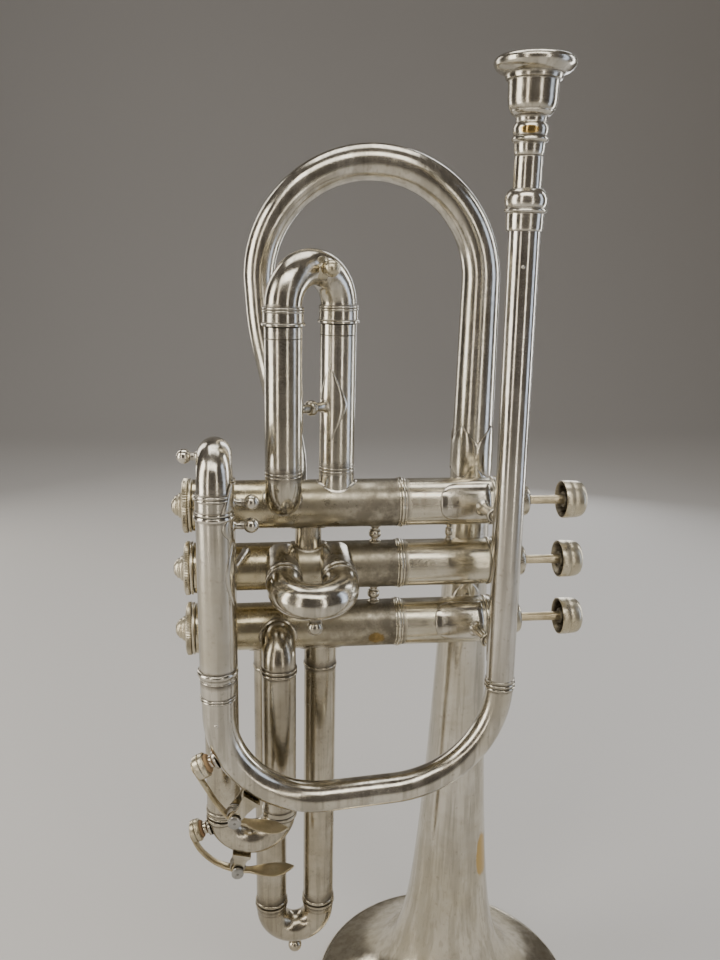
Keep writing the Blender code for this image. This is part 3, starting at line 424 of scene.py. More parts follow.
def leaf(name, base, axis, zero, r, t, outline, mat, k=14, rows=26, gold=False):
    """Thin curved plate on a cylinder, edges feathered; outline(s01) gives (axial, low angle, high angle)."""
    axis = unit(axis)
    zero = np.array(zero, float)
    zero = unit(zero - axis * np.dot(axis, zero))
    third = np.cross(axis, zero)
    base = np.array(base, float)
    verts, grime_shade_vals = [], []
    top = []
    for i in range(rows + 1):
        s, lo, hi = outline(i / rows)
        row = []
        for j in range(k + 1):
            a = math.radians(lo + (hi - lo) * j / k)
            edge = min(1.0, 6.0 * min(j / k, 1 - j / k), 9.0 * min(i / rows, 1 - i / rows) + 0.0)
            rr = r + t * (edge ** 0.5 if edge > 0 else -0.2)
            row.append(len(verts))
            verts.append(base + axis * s + rr * (math.cos(a) * zero + math.sin(a) * third))
            # rim row darkened: tarnish at the seam plus painted shade where the plate meets the tube
            grime_shade_vals.append(0.85 if edge <= 0.01 else 0.0)
        top.append(row)
    low = []
    for i in range(rows + 1):
        s, lo, hi = outline(i / rows)
        row = []
        for j in range(k + 1):
            a = math.radians(lo + (hi - lo) * j / k)
            row.append(len(verts))
            verts.append(base + axis * s + (r - 0.45) * (math.cos(a) * zero + math.sin(a) * third))
            # underside darkened: painted shade under the plate
            grime_shade_vals.append(0.8)
        low.append(row)
    faces = []
    for i in range(rows):
        for j in range(k):
            faces.append((top[i][j], top[i][j + 1], top[i + 1][j + 1], top[i + 1][j]))
            faces.append((low[i][j], low[i + 1][j], low[i + 1][j + 1], low[i][j + 1]))
        faces.append((top[i][0], top[i + 1][0], low[i + 1][0], low[i][0]))
        faces.append((top[i][k], low[i][k], low[i + 1][k], top[i + 1][k]))
    for j in range(k):
        faces.append((top[0][j], low[0][j], low[0][j + 1], top[0][j + 1]))
        faces.append((top[rows][j], top[rows][j + 1], low[rows][j + 1], low[rows][j]))
    P = np.array(verts)
    return build(name, verts, faces, mat, grime_shade_vals, gold_at(P), None, 60)


def done(obj, body, *nodes):
    obj.name = "v_" + nodes[0] if nodes else obj.name
    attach(obj, body)
    if nodes:
        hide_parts(*nodes)
    return obj


ROOT = "horn"
GOLD += [(((123.6, 17.4, -147.0), (4.6, 6.0, 13.0)), 1, 1.1), ((69.1, -8.8, -27.3), 4.2, 0.9),
         (((105.6, -39.0, 149.7), (4.0, 5.0, 1.3)), 1, 1.1)]

# ---- valves ----------------------------------------------------------------------
olive_left = lambda P: np.clip(0.85 - np.abs(P[:, 0] - 22.0) / 62.0, 0, 0.8)
for v in range(3):
    z = VZ[v]
    q = str(v + 1)
    axis = Route([line((0, 0, z), (120, 0, z), 3)], EZ)
    outer = [(1.9, CR + 0.3, 0.5), (2.1, CR + 0.5), (4.2, CR + 0.5), (4.5, CR + 0.35), (4.6, CR, 0.7), (5.4, CR)] + bead(7.0, CR, 1.0, 0.28) \
        + bead(76.6, CR, 0.7, 0.25)[1:-1] + bead(77.7, CR, 1.2, 0.55)[1:-1] + bead(78.8, CR, 0.7, 0.25)[1:-1] + [(81, CR)] + bead(112.2, CR, 1.0, 0.3) + [(114.2, CR, 0.6), (114.4, CR + 0.4), (116.8, CR + 0.45), (117.0, CR + 0.3, 0.6)]
    done(tube("c", axis, outer, [(1.9, 8.05), (117.0, 8.05)], CASE, 64, 2.5, olive_left), ROOT, "casing_" + q)

    cap = turned("c", (0, 0, z), EX, [(-5.7, 0.0, 0.9), (-5.7, 0.7, 0.9), (-5.75, 0.9), (-5.7, 1.6), (-5.3, 2.35), (-4.9, 2.75, 0.2), (-4.7, 2.8, 0.6), (-4.6, 3.3), (-4.3, 3.55), (-3.6, 3.75), (-3.3, 3.8, 0.5), (-3.2, 4.25),
        (-2.9, 4.5), (-2.5, 4.6), (-2.2, 4.7, 0.6), (-2.0, 6.2), (-1.9, 7.6), (-1.75, 8.9), (-1.5, 9.45), (-1.35, 9.55, 0.3), (-1.2, 9.75), (0.2, 9.75), (0.35, 9.6, 0.7), (0.5, 9.35, 0.8), (0.65, 9.6), (1.0, 9.75), (1.45, 9.7), (1.7, 9.35), (1.8, 7.6), (6.0, 7.6), (6.0, 0)],
        CAPS, 264, closed=False, knurls=[(-1.25, 0.25, 66, 0.13)], step=1.2)
    done(cap, ROOT, "bottom_cap_" + q)

    cap = turned("c", (0, 0, z), EX, [(112.0, 7.6), (117.2, 7.6), (117.2, 9.2, 0.6), (117.4, 9.45), (118.1, 9.45), (118.3, 9.3, 0.7), (118.45, 9.6), (118.6, 9.75), (120.6, 9.75), (120.75, 9.6, 0.4), (121.0, 9.4), (121.6, 8.6), (121.8, 7.2),
        (122.0, 6.5, 0.6), (122.3, 6.3), (123.2, 6.25), (123.4, 6.05, 0.7), (123.6, 6.2), (125.6, 5.9), (126.3, 5.5), (126.6, 4.8), (126.6, 2.2, 0.6), (120.0, 2.1, 1.0), (118.8, 6.8), (112.0, 6.8)],
        CAPS, 264, knurls=[(118.5, 120.7, 66, 0.13)], step=1.2)
    done(cap, ROOT, "top_cap_" + q)

    piston = turned("c", (0, 0, z), EX, [(20.5, 0), (20.5, 7.5), (20.7, 7.8), (83.6, 7.8), (84.0, 7.5), (84.0, 0)], STEEL, 40, closed=False)
    done(piston, "valve_" + q, "piston_" + q)
    out = (0.0, 0.4, 2.4)[v]
    stem = turned("c", (0, 0, z), EX, [(80.3, 0), (80.3, 1.9), (83.7, 1.9), (84.2, 1.65), (134.6 + out, 1.65), (140.0 + out, 1.75), (142.9 + out, 1.95, 0.4), (142.9 + out, 0)], BRASSY, 32, closed=False)
    done(stem, "valve_" + q, "stem_" + q)
    b0 = 140.1 + out
    b1 = 148.9 + out
    btn = turned("c", (0, 0, z), EX, [(b0 + 3.0, 0), (b0 + 3.0, 1.95, 1.0), (b0 + 0.5, 1.95, 0.9), (b0 + 0.45, 2.6, 0.7), (b0 + 0.8, 3.0, 0.9), (b0 + 3.3, 3.3, 1.0), (b0 + 3.8, 5.4, 1.0), (b0 + 1.6, 6.0, 1.0), (b0 + 0.25, 6.55, 0.6), (b0, 6.8),
        (b0 + 0.12, 7.05), (b0 + 0.5, 7.15), (b0 + 2.0, 7.15), (b0 + 3.1, 7.1), (b0 + 3.4, 7.0, 0.35), (b0 + 3.7, 7.08), (b0 + 5.0, 7.0), (b0 + 6.4, 6.85), (b0 + 7.4, 6.5), (b0 + 8.1, 5.9), (b0 + 8.5, 5.1), (b0 + 8.62, 4.6, 0.5), (b0 + 8.5, 4.2, 0.5), (b0 + 8.62, 3.6), (b1 - 0.05, 1.6), (b1, 0)],
        CAPS, 56, closed=False, olive=0.1)
    done(btn, "valve_" + q, "button_" + q)

for name, top in (("crossover_12", 0), ("crossover_23", 1)):
    zt, zb = VZ[top] - 6.6, VZ[top] - 24.0 + 6.6
    L = zt - zb
    r = Route([line((43.6, 0, zt), (43.6, 0, zb))], EX)
    a = tube("c", r, [(0, 5.3), (0.7, 5.0), (1.4, 4.9), (L / 2, 4.9), (L - 1.4, 4.9), (L - 0.7, 5.0), (L, 5.3)], [(0, 4.2), (L, 4.2)], DULL, 40)
    sad = [leaf("s", (0, 0, VZ[top + k]), EX, (0, 0, -1 if k == 0 else 1), CR, 0.35, lambda u: (43.6 - 7.0 + 14.0 * u, -40 * math.sin(math.pi * u) ** 0.6 - 2, 40 * math.sin(math.pi * u) ** 0.6 + 2), DULL) for k in (0, 1)]
    done(join(a, *sad), ROOT, name)

for name, top in (("brace_12", 0), ("brace_23", 1)):
    z = VZ[top] - 12
    done(baluster("c", (68.6, 0, VZ[top] - CR + 0.3), (68.6, 0, VZ[top + 1] + CR - 0.3), 1.35, 2.3, DULL), ROOT, name)

# ---- mouthpiece, receiver, leadpipe --------------------------------------------------
mp = [(124.0, 4.0), (133.6, 4.3), (139.0, 4.35), (142.2, 4.35), (142.5, 4.3, 0.8), (142.7, 4.15, 0.9), (143.0, 4.4), (144.2, 4.6), (145.6, 4.7), (146.2, 4.75, 0.6), (146.4, 4.8, 0.7), (146.7, 5.3), (147.2, 5.65), (147.8, 5.5), (148.1, 5.2, 0.8), (148.3, 5.0, 0.8), (149.0, 5.25), (150.2, 5.4),
      (151.2, 5.2), (151.8, 4.8), (152.1, 4.65, 0.4), (152.9, 4.6), (153.6, 4.7, 0.6), (153.9, 4.9, 0.8), (154.1, 5.6, 0.3), (154.5, 6.1), (155.1, 6.5), (155.3, 6.45, 0.4), (155.9, 6.9), (157.0, 7.25), (158.6, 7.45), (161.2, 7.5), (163.2, 7.6), (163.6, 7.65, 0.5), (163.8, 7.75, 0.8), (164.0, 8.3), (164.6, 8.5),
      (165.3, 8.55, 0.5), (165.5, 8.7, 0.7), (165.7, 9.4), (166.2, 10.6), (166.8, 11.4), (167.6, 12.0), (168.4, 12.2), (169.1, 12.05), (169.7, 11.6), (170.1, 11.0), (170.2, 10.5), (170.0, 9.8), (169.4, 9.1), (168.4, 8.4), (166.8, 8.05), (165.2, 7.7), (163.4, 7.1), (161.4, 6.3), (159.4, 5.3),
      (157.2, 3.9), (155.6, 2.8), (154.4, 1.9), (151.0, 1.9, 0.9), (124.0, 3.3, 0.9)]
done(turned("c", (MPX, MPY, 0), EZ, mp, SILVER, 72, step=1.5), "mouthpiece", "mouthpiece")
rc = [(120.6, 5.1, 0.9), (120.65, 5.45, 0.8), (120.9, 5.6), (121.5, 5.7), (123.5, 5.75), (125.6, 5.8), (125.9, 5.85, 0.7), (126.1, 5.95, 0.8), (126.3, 6.35), (126.7, 6.55), (127.1, 6.45), (127.4, 6.1, 0.8), (127.6, 6.05, 0.6), (128.0, 6.3), (129.0, 6.55), (130.2, 6.55), (131.2, 6.3), (132.2, 5.8),
      (132.9, 5.1), (133.2, 4.7, 0.8), (133.2, 4.35, 1.0), (123.1, 4.3, 1.0), (123.0, 5.0, 1.0)]
done(turned("c", (MPX, MPY, 0), EZ, rc, SILVER, 64, step=1.5), ROOT, "receiver")

lead = Route([line((LEAD_X0, MPY, LEAD_Z0), (LEAD_X1, MPY, LEAD_Z1))], EY)
pipe = tube("c", lead, [(0, 4.9), (lead.length, 4.9)], [(0, 4.4), (lead.length, 4.4)], LEADS, 56, 2.0)


def lead_x(z):
    return LEAD_X0 + (LEAD_X1 - LEAD_X0) * (z - LEAD_Z0) / (LEAD_Z1 - LEAD_Z0)


blob = turned("b", (lead_x(110.0) - 1.2, MPY - 4.6, 110.0), (-0.2, -1, 0), [(-0.6, 0), (-0.6, 0.8), (0.0, 0.75, 0.8), (0.35, 0.45), (0.45, 0)], LEADS, 16, closed=False)
done(join(pipe, blob), ROOT, "leadpipe")

lead_bow_L, lead_bow_Z, lead_bow_R, lead_bow_Y = 35.6, -40.1, 39.8, -34.2
c1 = np.array((T1[0] + lead_bow_L, MPY, lead_bow_Z))
c2 = np.array((LEAD_X0 - lead_bow_R, MPY, lead_bow_Y))
gap = c2 - c1
rise = math.atan2(gap[2], gap[0]) + math.asin((lead_bow_L - lead_bow_R) / math.hypot(gap[0], gap[2]))
dn = np.array((math.sin(rise), 0, -math.cos(rise)))
rt = Route([line((T1[0], MPY, -30.0), (T1[0], MPY, lead_bow_Z)), arc(c1, lead_bow_L, EX, EZ, 180, 270 + math.degrees(rise), 120),
            line(c1 + lead_bow_L * dn, c2 + lead_bow_R * dn), arc(c2, lead_bow_R, EX, EZ, 270 + math.degrees(rise), 360, 120)], EY)
L = rt.length
br = lambda s: 5.75 + (4.9 - 5.75) * s / L
stn = [(s, br(s)) for s in np.linspace(0, L, 70)]
o = tube("c", rt, stn, [(s, r - 0.5) for s, r in stn[::4] + [stn[-1]]], SILVER, 56, 2.2)
nub = turned("b", (10.0, MPY - 5.5, -42.5), (-0.1, -1, 0), [(-0.8, 0), (-0.8, 0.9, 0.8), (0.0, 0.85, 0.5), (0.4, 0.5), (0.5, 0)], SILVER, 16, closed=False)
done(join(o, nub), ROOT, "lead_bow")

r = Route([line((LEAD_X0, MPY, LEAD_Z0 - 1.5), (LEAD_X0 - 0.05, MPY, LEAD_Z0 + 2.6))], EY)
done(tube("c", r, [(0, 4.95, 0.8)] + bead(0.75, 5.0, 1.0, 0.45) + bead(2.2, 5.0, 0.9, 0.4)[2:] + [(3.9, 5.15), (4.1, 4.95, 0.8)], [(0, 4.8), (r.length, 4.8)], SILVER, 56), ROOT, "lead_ferrule")

# ---- main tuning slide ------------------------------------------------------------
r = Route([line((*T1, 31.0), (*T1, -34.4))], EY)
o = tube("c", r, [(0, 6.1, 0.5), (0.1, 6.5)] + [(0.5, 6.75), (1.1, 6.75), (1.5, 6.5), (1.6, 6.1, 0.8), (2.6, 6.08)]
         + bead(55.6, 6.1, 2.0, 0.85) + [(59.0, 6.1)] + bead(58.2, 6.1, 0.5, 0.2)[2:-2] + [(60.4, 6.12), (61.0, 6.12), (63.5, 5.98)] + bead(64.4, 5.95, 0.8, 0.35)[1:-1] + bead(65.4, 5.95, 0.7, 0.3)[2:-1], [(0, 5.8), (60.0, 5.8)], SILVER, 56, 2.0)
done(o, ROOT, "tuning_tube_front")
r = Route([line((*T2, 31.0), (*T2, LOW_C))], EY)
done(tube("c", r, [(0, 6.2, 0.5), (0.1, 6.6), (0.5, 6.8), (1.2, 6.7), (1.5, 6.25, 0.8), (2.5, 6.25)] + [(100, 6.25)] + bead(121.2, 6.25, 1.0, 0.4) + bead(123.2, 6.25, 0.8, 0.3)[1:-1], [(0, 5.8), (r.length, 5.8)], DULL, 56, 3.0), ROOT, "tuning_tube_rear")


def crook(a, b, up, arc_at, legs, half, bend_r, mat, n=56, wob=None):
    a, b, up = np.array(a, float), np.array(b, float), np.array(up, float)
    across = unit(b - a)
    mid = (a + b) / 2
    rad = np.linalg.norm(b - a) / 2
    c = mid + up * arc_at
    ref = np.cross(across, up)
    route = Route([line(a - up * legs, a + up * arc_at), arc(c, rad, -across, up, 0, 180, 140), line(b + up * arc_at, b - up * legs)], ref)
    e = route.length
    h = [(0, 5.4, 0.4), (legs, 5.4, 0.7)] + [(legs + q[0], q[1], q[2]) for q in sts(half)]
    m = route.marks
    bend = [(s, bend_r) for s in np.linspace(m[1] + 0.1, m[2] - 0.1, 44) if s > h[-1][0] + 0.2 and s < e - h[-1][0] - 0.2]
    outer = h + bend + [(e - s, r, g) for s, r, g in reversed(h)]
    inner = [(s, 4.9) for s in np.linspace(0, e, 60)]
    o = tube("c", route, outer, inner, mat, n, 3.0)
    return o, mid + up * (arc_at + rad), ref, across


def shift(items, ds):
    return [(q[0] + ds, *q[1:]) for q in sts(items)]


half = [(0.25, 6.1, 0.8), (0.3, 6.5, 0.3), (0.6, 6.6), (1.2, 6.45), (1.35, 6.15, 0.6), (2.2, 6.15), (4.4, 6.15)] + bead(5.4, 6.15, 0.8, 0.4)[1:-1] + bead(6.5, 6.1, 0.8, 0.4)[2:-1] + [(7.2, 5.75, 0.6), (8.2, 5.65)]
o, apex, ref, acr = crook((*T1, 31.0), (*T2, 31.0), EZ, 8.6, 30.0, half, 5.65, SILVER)
k = knob("k", (apex[0] - 4.7, apex[1], apex[2] - 0.6), (-1, 0, 0), 3.0, 2.45, SILVER)
done(join(o, k), "tuning_slide", "tuning_crook")

for body, name, z, r in (("tuning_slide", "tuning_post_slide", 34.6, 6.3), (ROOT, "tuning_post_fixed", 26.9, 6.1)):
    p = knob("k", (T1[0] + r - 0.2, T1[1], z), EX, 3.7, 2.6, SILVER, root=0.6, flare=2.3)
    up = 1 if body != ROOT else -1
    lf = leaf("l", (*T1, z), EZ, (1, -0.35, 0), r - 0.02, 0.32, lambda u, up=up: (-5.5 + 11.0 * u, -48 * math.sin(math.pi * u) ** 1.1 - 1, 48 * math.sin(math.pi * u) ** 1.1 + 1), SILVER) if body == ROOT else \
        leaf("l", (*T1, z), EZ, (1, -0.35, 0), r + 0.0, 0.32, lambda u: (-2.6 + 9.5 * u, -50 * (1 - u) ** 0.7 - 1, 50 * (1 - u) ** 0.7 + 1), SILVER)
    done(join(p, lf), body, name)

# brace from the tuning tube to the valves
lf = leaf("l", (*T1, 10.8), EZ, (1, -0.25, 0), 6.08, 0.4, lambda u: (-11.5 + 23.0 * u, -44 * math.sin(math.pi * u) ** 0.85 - 1, 44 * math.sin(math.pi * u) ** 0.85 + 1), SILVER)
post = baluster("p", (T1[0] + 5.6, T1[1] + 2.2, 10.8), (20.6, -CR + 2.2, 8.2), 1.4, 1.7, DULL, 0.0)
done(join(lf, post), ROOT, "tuning_brace")

# lower bow and return tube
low_rad = (RETURN_X - T2[0]) / 2
low_c = ((RETURN_X + T2[0]) / 2, T2[1], LOW_C)
r = Route([line((T2[0], T2[1], LOW_C + 4.0), (T2[0], T2[1], LOW_C - 0.3)), arc((low_c[0], low_c[1], LOW_C - 0.3), low_rad, EX, EZ, 180, 360, 100), line((RETURN_X, T2[1], LOW_C - 0.3), (RETURN_X, T2[1], LOW_C + 4.0))], EY)
m = r.marks
e = r.length
hf = [(0, 5.4), (m[1] - 0.1, 5.4, 0.9)] + [(m[1], 6.5, 0.4), (m[1] + 0.3, 6.65), (m[1] + 0.9, 6.6), (m[1] + 1.2, 6.2, 0.8), (m[1] + 2.0, 6.15)]
st = hf + [(s, 6.15) for s in np.linspace(m[1] + 3, m[2] - 3, 30)] + [(e - q[0], *q[1:]) for q in reversed(hf)]
done(tube("c", r, st, [(s, 5.0) for s in np.linspace(0, e, 30)], DULL, 56), ROOT, "lower_bow")

K = 7.0
z3 = VZ[2]
r = Route([line((RETURN_X, T2[1], LOW_C), (RETURN_X, T2[1], z3 - K - 1.0)), arc((RETURN_X, T2[1] + K, z3 - K - 1.0), K, (0, -1, 0), EZ, 0, 90, 50),
           line((RETURN_X, T2[1] + K, z3 - 1.0), (RETURN_X, -4.0, z3 - 1.0), 8)], EX)
m = r.marks
st = [(0, 6.3, 0.8), (0.1, 6.55), (1.8, 6.55), (2.0, 6.25, 0.7), (3.0, 6.25), (m[1] - 4.6, 6.25)] + bead(m[1] - 3.0, 6.25, 1.0, 0.42)[1:-1] + bead(m[1] - 1.4, 6.25, 1.0, 0.42)[2:-1] + [(m[1], 6.2)] + [(s, 6.2) for s in np.linspace(m[1] + 0.8, m[2], 14)] + [(r.length, 6.2)]
o = tube("c", r, st, [(s, 5.6) for s in np.linspace(0, r.length, 40)], DULL, 56)
sd = leaf("l", (0, 0, z3), EX, (0, -1, -0.1), CR, 0.3, lambda u: (RETURN_X - 7.4 + 14.8 * u, -52 * math.sin(math.pi * u) ** 0.7 - 1, 52 * math.sin(math.pi * u) ** 0.7 + 1), DULL)
done(join(o, sd), ROOT, "return_tube")

# ---- valve 1 slide ---------------------------------------------------------------------
z1 = VZ[0]
KR, turn, kz = 8.0, 75.0, VZ[0] + 12.6
end = np.array((S1F[0], S1F[1] + KR - KR * math.cos(math.radians(turn)), kz - KR * math.sin(math.radians(turn))))
go = np.array((0, math.sin(math.radians(turn)), -math.cos(math.radians(turn))))
fc = np.cross(unit((S1R[0] - S1F[0], S1R[1] - S1F[1], 0.0)), EZ)
r = Route([line((*S1F, 89.4), (*S1F, kz)), arc((S1F[0], S1F[1] + KR, kz), KR, (0, -1, 0), (0, 0, -1), 0, turn, 50), line(end, end + go * 7.0, 8)], fc)
m = r.marks
st = [(0, 6.1, 0.8), (0.15, 6.35), (3.3, 6.35)] + scribe(3.8, 6.35) + [(m[1] - 6.5, 6.35)] + bead(m[1] - 3.6, 6.35, 0.55, 0.16)[1:-1] + bead(m[1] - 2.4, 6.35, 0.55, 0.16)[1:-1] + [(m[1], 6.3)] + [(s, 6.3) for s in np.linspace(m[1] + 0.8, m[2], 14)] + [(r.length, 6.3)]
o = tube("c", r, st, [(s, 5.6) for s in np.linspace(0, r.length, 40)], SILVER, 56)
sd = leaf("l", (0, 0, z1), EX, (0, -0.87, 0.49), CR, 0.3, lambda u: (S1F[0] - 7.4 + 14.8 * u, -50 * math.sin(math.pi * u) ** 0.7 - 1, 40 * math.sin(math.pi * u) ** 0.7 + 1), SILVER)
pl = [leaf("l", (*S1F, 61.5), EZ, (0.75, 0.6, 0), 6.33, 0.3, lambda u: (-13 + 26 * u, -70 * math.sin(math.pi * u) - 1, 30 * math.sin(math.pi * u) + 1), SILVER)]
done(join(o, sd, *pl), ROOT, "slide1_tube_front")
r = Route([line((*S1R, 89.4), (*S1R, z1 + 4.0))], fc)
st = [(0, 6.1, 0.8), (0.15, 6.35), (3.3, 6.35)] + scribe(3.8, 6.35) + [(48.0, 6.35)] + bead(51.2, 6.35, 0.55, 0.16)[1:-1] + bead(52.4, 6.35, 0.55, 0.16)[1:-1] + [(54.0, 6.45), (r.length, 6.4)]
o = tube("c", r, st, [(0, 5.7), (r.length, 5.7)], SILVER, 56)
sd = leaf("l", (0, 0, z1), EX, (0, -0.12, 1), CR, 0.3, lambda u: (S1R[0] - 7.6 + 15.2 * u, -50 * math.sin(math.pi * u) ** 0.7 - 1, 44 * math.sin(math.pi * u) ** 0.7 + 1), SILVER)
pl = [leaf("l", (*S1R, 61.5), EZ, (-0.5, -0.85, 0), 6.33, 0.3, lambda u: (-14 + 28 * u, -60 * (1 - abs(2 * u - 1)) - 1, 64 * (1 - abs(2 * u - 1)) + 1), SILVER)]
done(join(o, sd, *pl), ROOT, "slide1_tube_rear")

half = [(0.25, 6.2, 0.8), (0.3, 7.1, 0.3), (0.45, 7.3), (1.0, 7.35), (1.3, 7.1), (1.4, 6.8, 0.7), (1.8, 6.78), (4.4, 6.75)] + bead(5.0, 6.7, 0.7, 0.3)[1:-1] + bead(5.9, 6.65, 0.7, 0.3)[2:-1] + [(6.4, 6.25, 0.7), (7.2, 6.2)]
o, apex, ref, acr = crook((*S1F, 89.4), (*S1R, 89.4), EZ, 6.2, 40.0, half, 6.2, SILVER)
side = unit((S1R[1] - S1F[1], -(S1R[0] - S1F[0]), 0.0))
k = knob("k", apex + side * 5.4 - np.array((0, 0, 0.2)), side, 1.9, 2.8, CAPS, flare=3.9)
done(join(o, k), "slide_1", "slide1_crook")
a, b = np.array((*S1F, 60.8)), np.array((*S1R, 60.8))
d = unit(b - a)
done(baluster("c", a + d * 6.0, b - d * 6.0, 1.6, 2.7, SILVER, 1.0), ROOT, "slide1_brace")

# ---- valve 2 slide ------------------------------------------------------------------------
T = math.radians(7.0)
out2 = np.array((0, -math.cos(T), -math.sin(T)))
lift = np.cross(EX, out2)
S2X = (33.9, 53.4)
for name, x in (("slide2_tube_left", S2X[0]), ("slide2_tube_right", S2X[1])):
    foot = np.array((x, -CR, 3.2))
    r = Route([line(foot - out2 * 6.0, foot + out2 * (19.6 - CR))], EX)
    e = r.length
    o = tube("c", r, [(0, 6.3), (7.0, 6.3), (8.0, 6.3)] + bead(e - 0.8, 6.25, 0.9, 0.3)[1:-3] + [(e, 6.1, 0.8)], [(0, 5.7), (e, 5.7)], SILVER, 56, 2.0)
    done(o, ROOT, name)
A2 = np.array((S2X[0], -CR, 3.2)) + out2 * (19.6 - CR)
B2 = np.array((S2X[1], -CR, 3.2)) + out2 * (19.6 - CR)
half = [(0.25, 6.2, 0.8), (0.3, 6.35), (1.6, 6.4)] + bead(2.2, 6.35, 0.6, 0.25)[2:-2] + [(2.9, 6.25, 0.5), (5.6, 6.2)]
o, apex, ref, acr = crook(A2, B2, out2, 6.4, 7.5, half, 6.2, SILVER)
k = knob("k", apex + lift * 5.3, lift, 2.0, 2.8, SILVER, flare=3.6)
done(join(o, k), "slide_2", "slide2_crook")

# ---- valve 3 slide ---------------------------------------------------------------------------
S3X, S3_BOT = (29.1, 48.4), -147.4
for name, x in (("slide3_tube_left", S3X[0]), ("slide3_tube_right", S3X[1])):
    r = Route([line((x, 0, z3 - 4.0), (x, 0, S3_BOT))], EX)
    e = r.length
    o = tube("c", r, [(0, 6.2), (8, 6.2)] + bead(12.0, 6.15, 0.9, 0.35)[1:-1] + [(14, 6.15), (e - 6, 6.15)] + bead(e - 1.0, 6.15, 1.4, 0.45)[1:-3] + [(e, 6.0, 0.9)], [(0, 5.7), (e, 5.7)], DULL, 56)
    sd = leaf("l", (0, 0, z3), EX, (0, 0, -1), CR, 0.5, lambda u, x=x: (x - 9.0 + 18 * u, -52 * math.sin(math.pi * u) ** 0.8 - 1, 52 * math.sin(math.pi * u) ** 0.8 + 1), DULL)
    done(join(o, sd), ROOT, name)
half = [(0.25, 6.1, 0.9), (0.3, 6.6), (0.8, 6.75), (1.2, 6.6), (1.4, 6.3, 0.7), (3.0, 6.3), (3.4, 6.1, 0.5), (4.2, 6.05)]
o, apex, ref, acr = crook((S3X[0], 0, S3_BOT), (S3X[1], 0, S3_BOT), (0, 0, -1), 4.0, 45.0, half, 6.05, DULL)
k = knob("k", apex + np.array((0, 0, -5.2)), (0, 0, -1), 2.0, 2.8, DULL, flare=3.4)
done(join(o, k), "slide_3", "slide3_crook")


# ---- bell -----------------------------------------------------------------------------------------
def bell_r(h):
    return 5.0 + 18.5 * math.exp(-h / 145.0) + 35.6 * math.exp(-(h - 2.0) / 13.5)


hs = list(np.linspace(0, 1, 90) ** 2.1 * (BELL_TOP - RIM_Z - 2.2) + 2.2)
po = [(RIM_Z + h, bell_r(h)) for h in hs]
rim = [(RIM_Z + 2.0, RIM_R - 1.4, 0.6), (RIM_Z + 1.85, RIM_R - 0.75), (RIM_Z + 1.6, RIM_R - 0.25), (RIM_Z + 1.1, RIM_R), (RIM_Z + 0.6, RIM_R), (RIM_Z + 0.2, RIM_R - 0.25), (RIM_Z, RIM_R - 0.7), (RIM_Z, RIM_R - 1.9), (RIM_Z + 0.5, RIM_R - 2.4, 0.6), (RIM_Z + 1.4, RIM_R - 2.9)]
pi = [(z + 0.1, r - 0.7 - (0.4 if r > 30 else 0.0)) for z, r in po]
ol_bell = lambda P: np.clip((-P[:, 2] - 120.0) / 220.0, 0, 0.30)
done(turned("c", (BX, BY, 0), EZ, list(reversed(po)) + rim + pi, SILVER, 112, ref=EX, step=8.0, olive=ol_bell), ROOT, "bell")

bow = Route([line((BX, BY, BELL_TOP), (BX, BY, BOW_Z)), arc((BX - BOW_R, BY, BOW_Z), BOW_R, EX, EZ, 0, 180, 160),
             spline([(BX - 2 * BOW_R, BY, BOW_Z), (28.2, BY, 86.0), (32.4, 27.6, 66.0), (36.0, 25.6, 50.0), (38.3, 20.5, 37.5), (38.5, 12.0, 28.6), (38.5, 5.0, 25.6)], 24)], EY)
m = bow.marks
e = bow.length
bbr = lambda s: float(np.interp(s, [0, m[1], (m[1] + m[2]) / 2, m[2], e], [8.1, 7.3, 6.65, 5.7, 5.6]))
st = [(s, bbr(s)) for s in np.linspace(0, e, 260)]
done(tube("c", bow, st, [(s, q - 0.6) for s, q in st[::5] + [st[-1]]], SILVER, 64), ROOT, "bell_bow")
th = 2 * np.pi * np.arange(96) / 96
tri = np.abs(((th / (2 * np.pi) * 4 + 0.5) % 1.0) * 2 - 1)          # four points round the sleeve
rings, grime_shade_vals = [], []
for f, rr, g in ((0.0, 8.05, 0.9), (0.0, 8.2, 0.9), (0.015, 8.42, 0.6), (0.05, 8.5, 0), (0.25, 8.5, 0), (0.5, 8.5, 0), (0.75, 8.5, 0), (0.95, 8.5, 0), (0.985, 8.42, 0.6), (1.0, 8.2, 0.9), (1.0, 8.05, 0.9), (0.5, 7.9, 0.9)):
    zz = BELL_TOP - 7.5 + (1 - tri) * 4.5 + f * (15.0 + tri * 7.0 - (1 - tri) * 4.5)
    rt_ = rr + 0.16 - 0.012 * (zz - BELL_TOP + 7.5)
    rings.append(np.stack([BX + rt_ * np.cos(th), BY + rt_ * np.sin(th), zz], 1))
    grime_shade_vals.append(g)
done(loft("c", rings, grime_shade_vals, True, SILVER), ROOT, "bell_ferrule")

for name, z in (("bell_brace_upper", VZ[0]), ("bell_brace_lower", VZ[2])):
    rb = bell_r(z - RIM_Z)
    p = baluster("c", (110.2, CR - 0.3, z), (110.2, BY - rb + 0.4, z), 1.8, 2.9, SILVER, 1.0)
    lf = leaf("l", (BX, BY, z), EZ, (-0.1, -1, 0), rb, 0.4, lambda u: (-9 + 18 * u, -38 * math.sin(math.pi * u) - 1, 38 * math.sin(math.pi * u) + 1), SILVER)
    done(join(p, lf), ROOT, name)

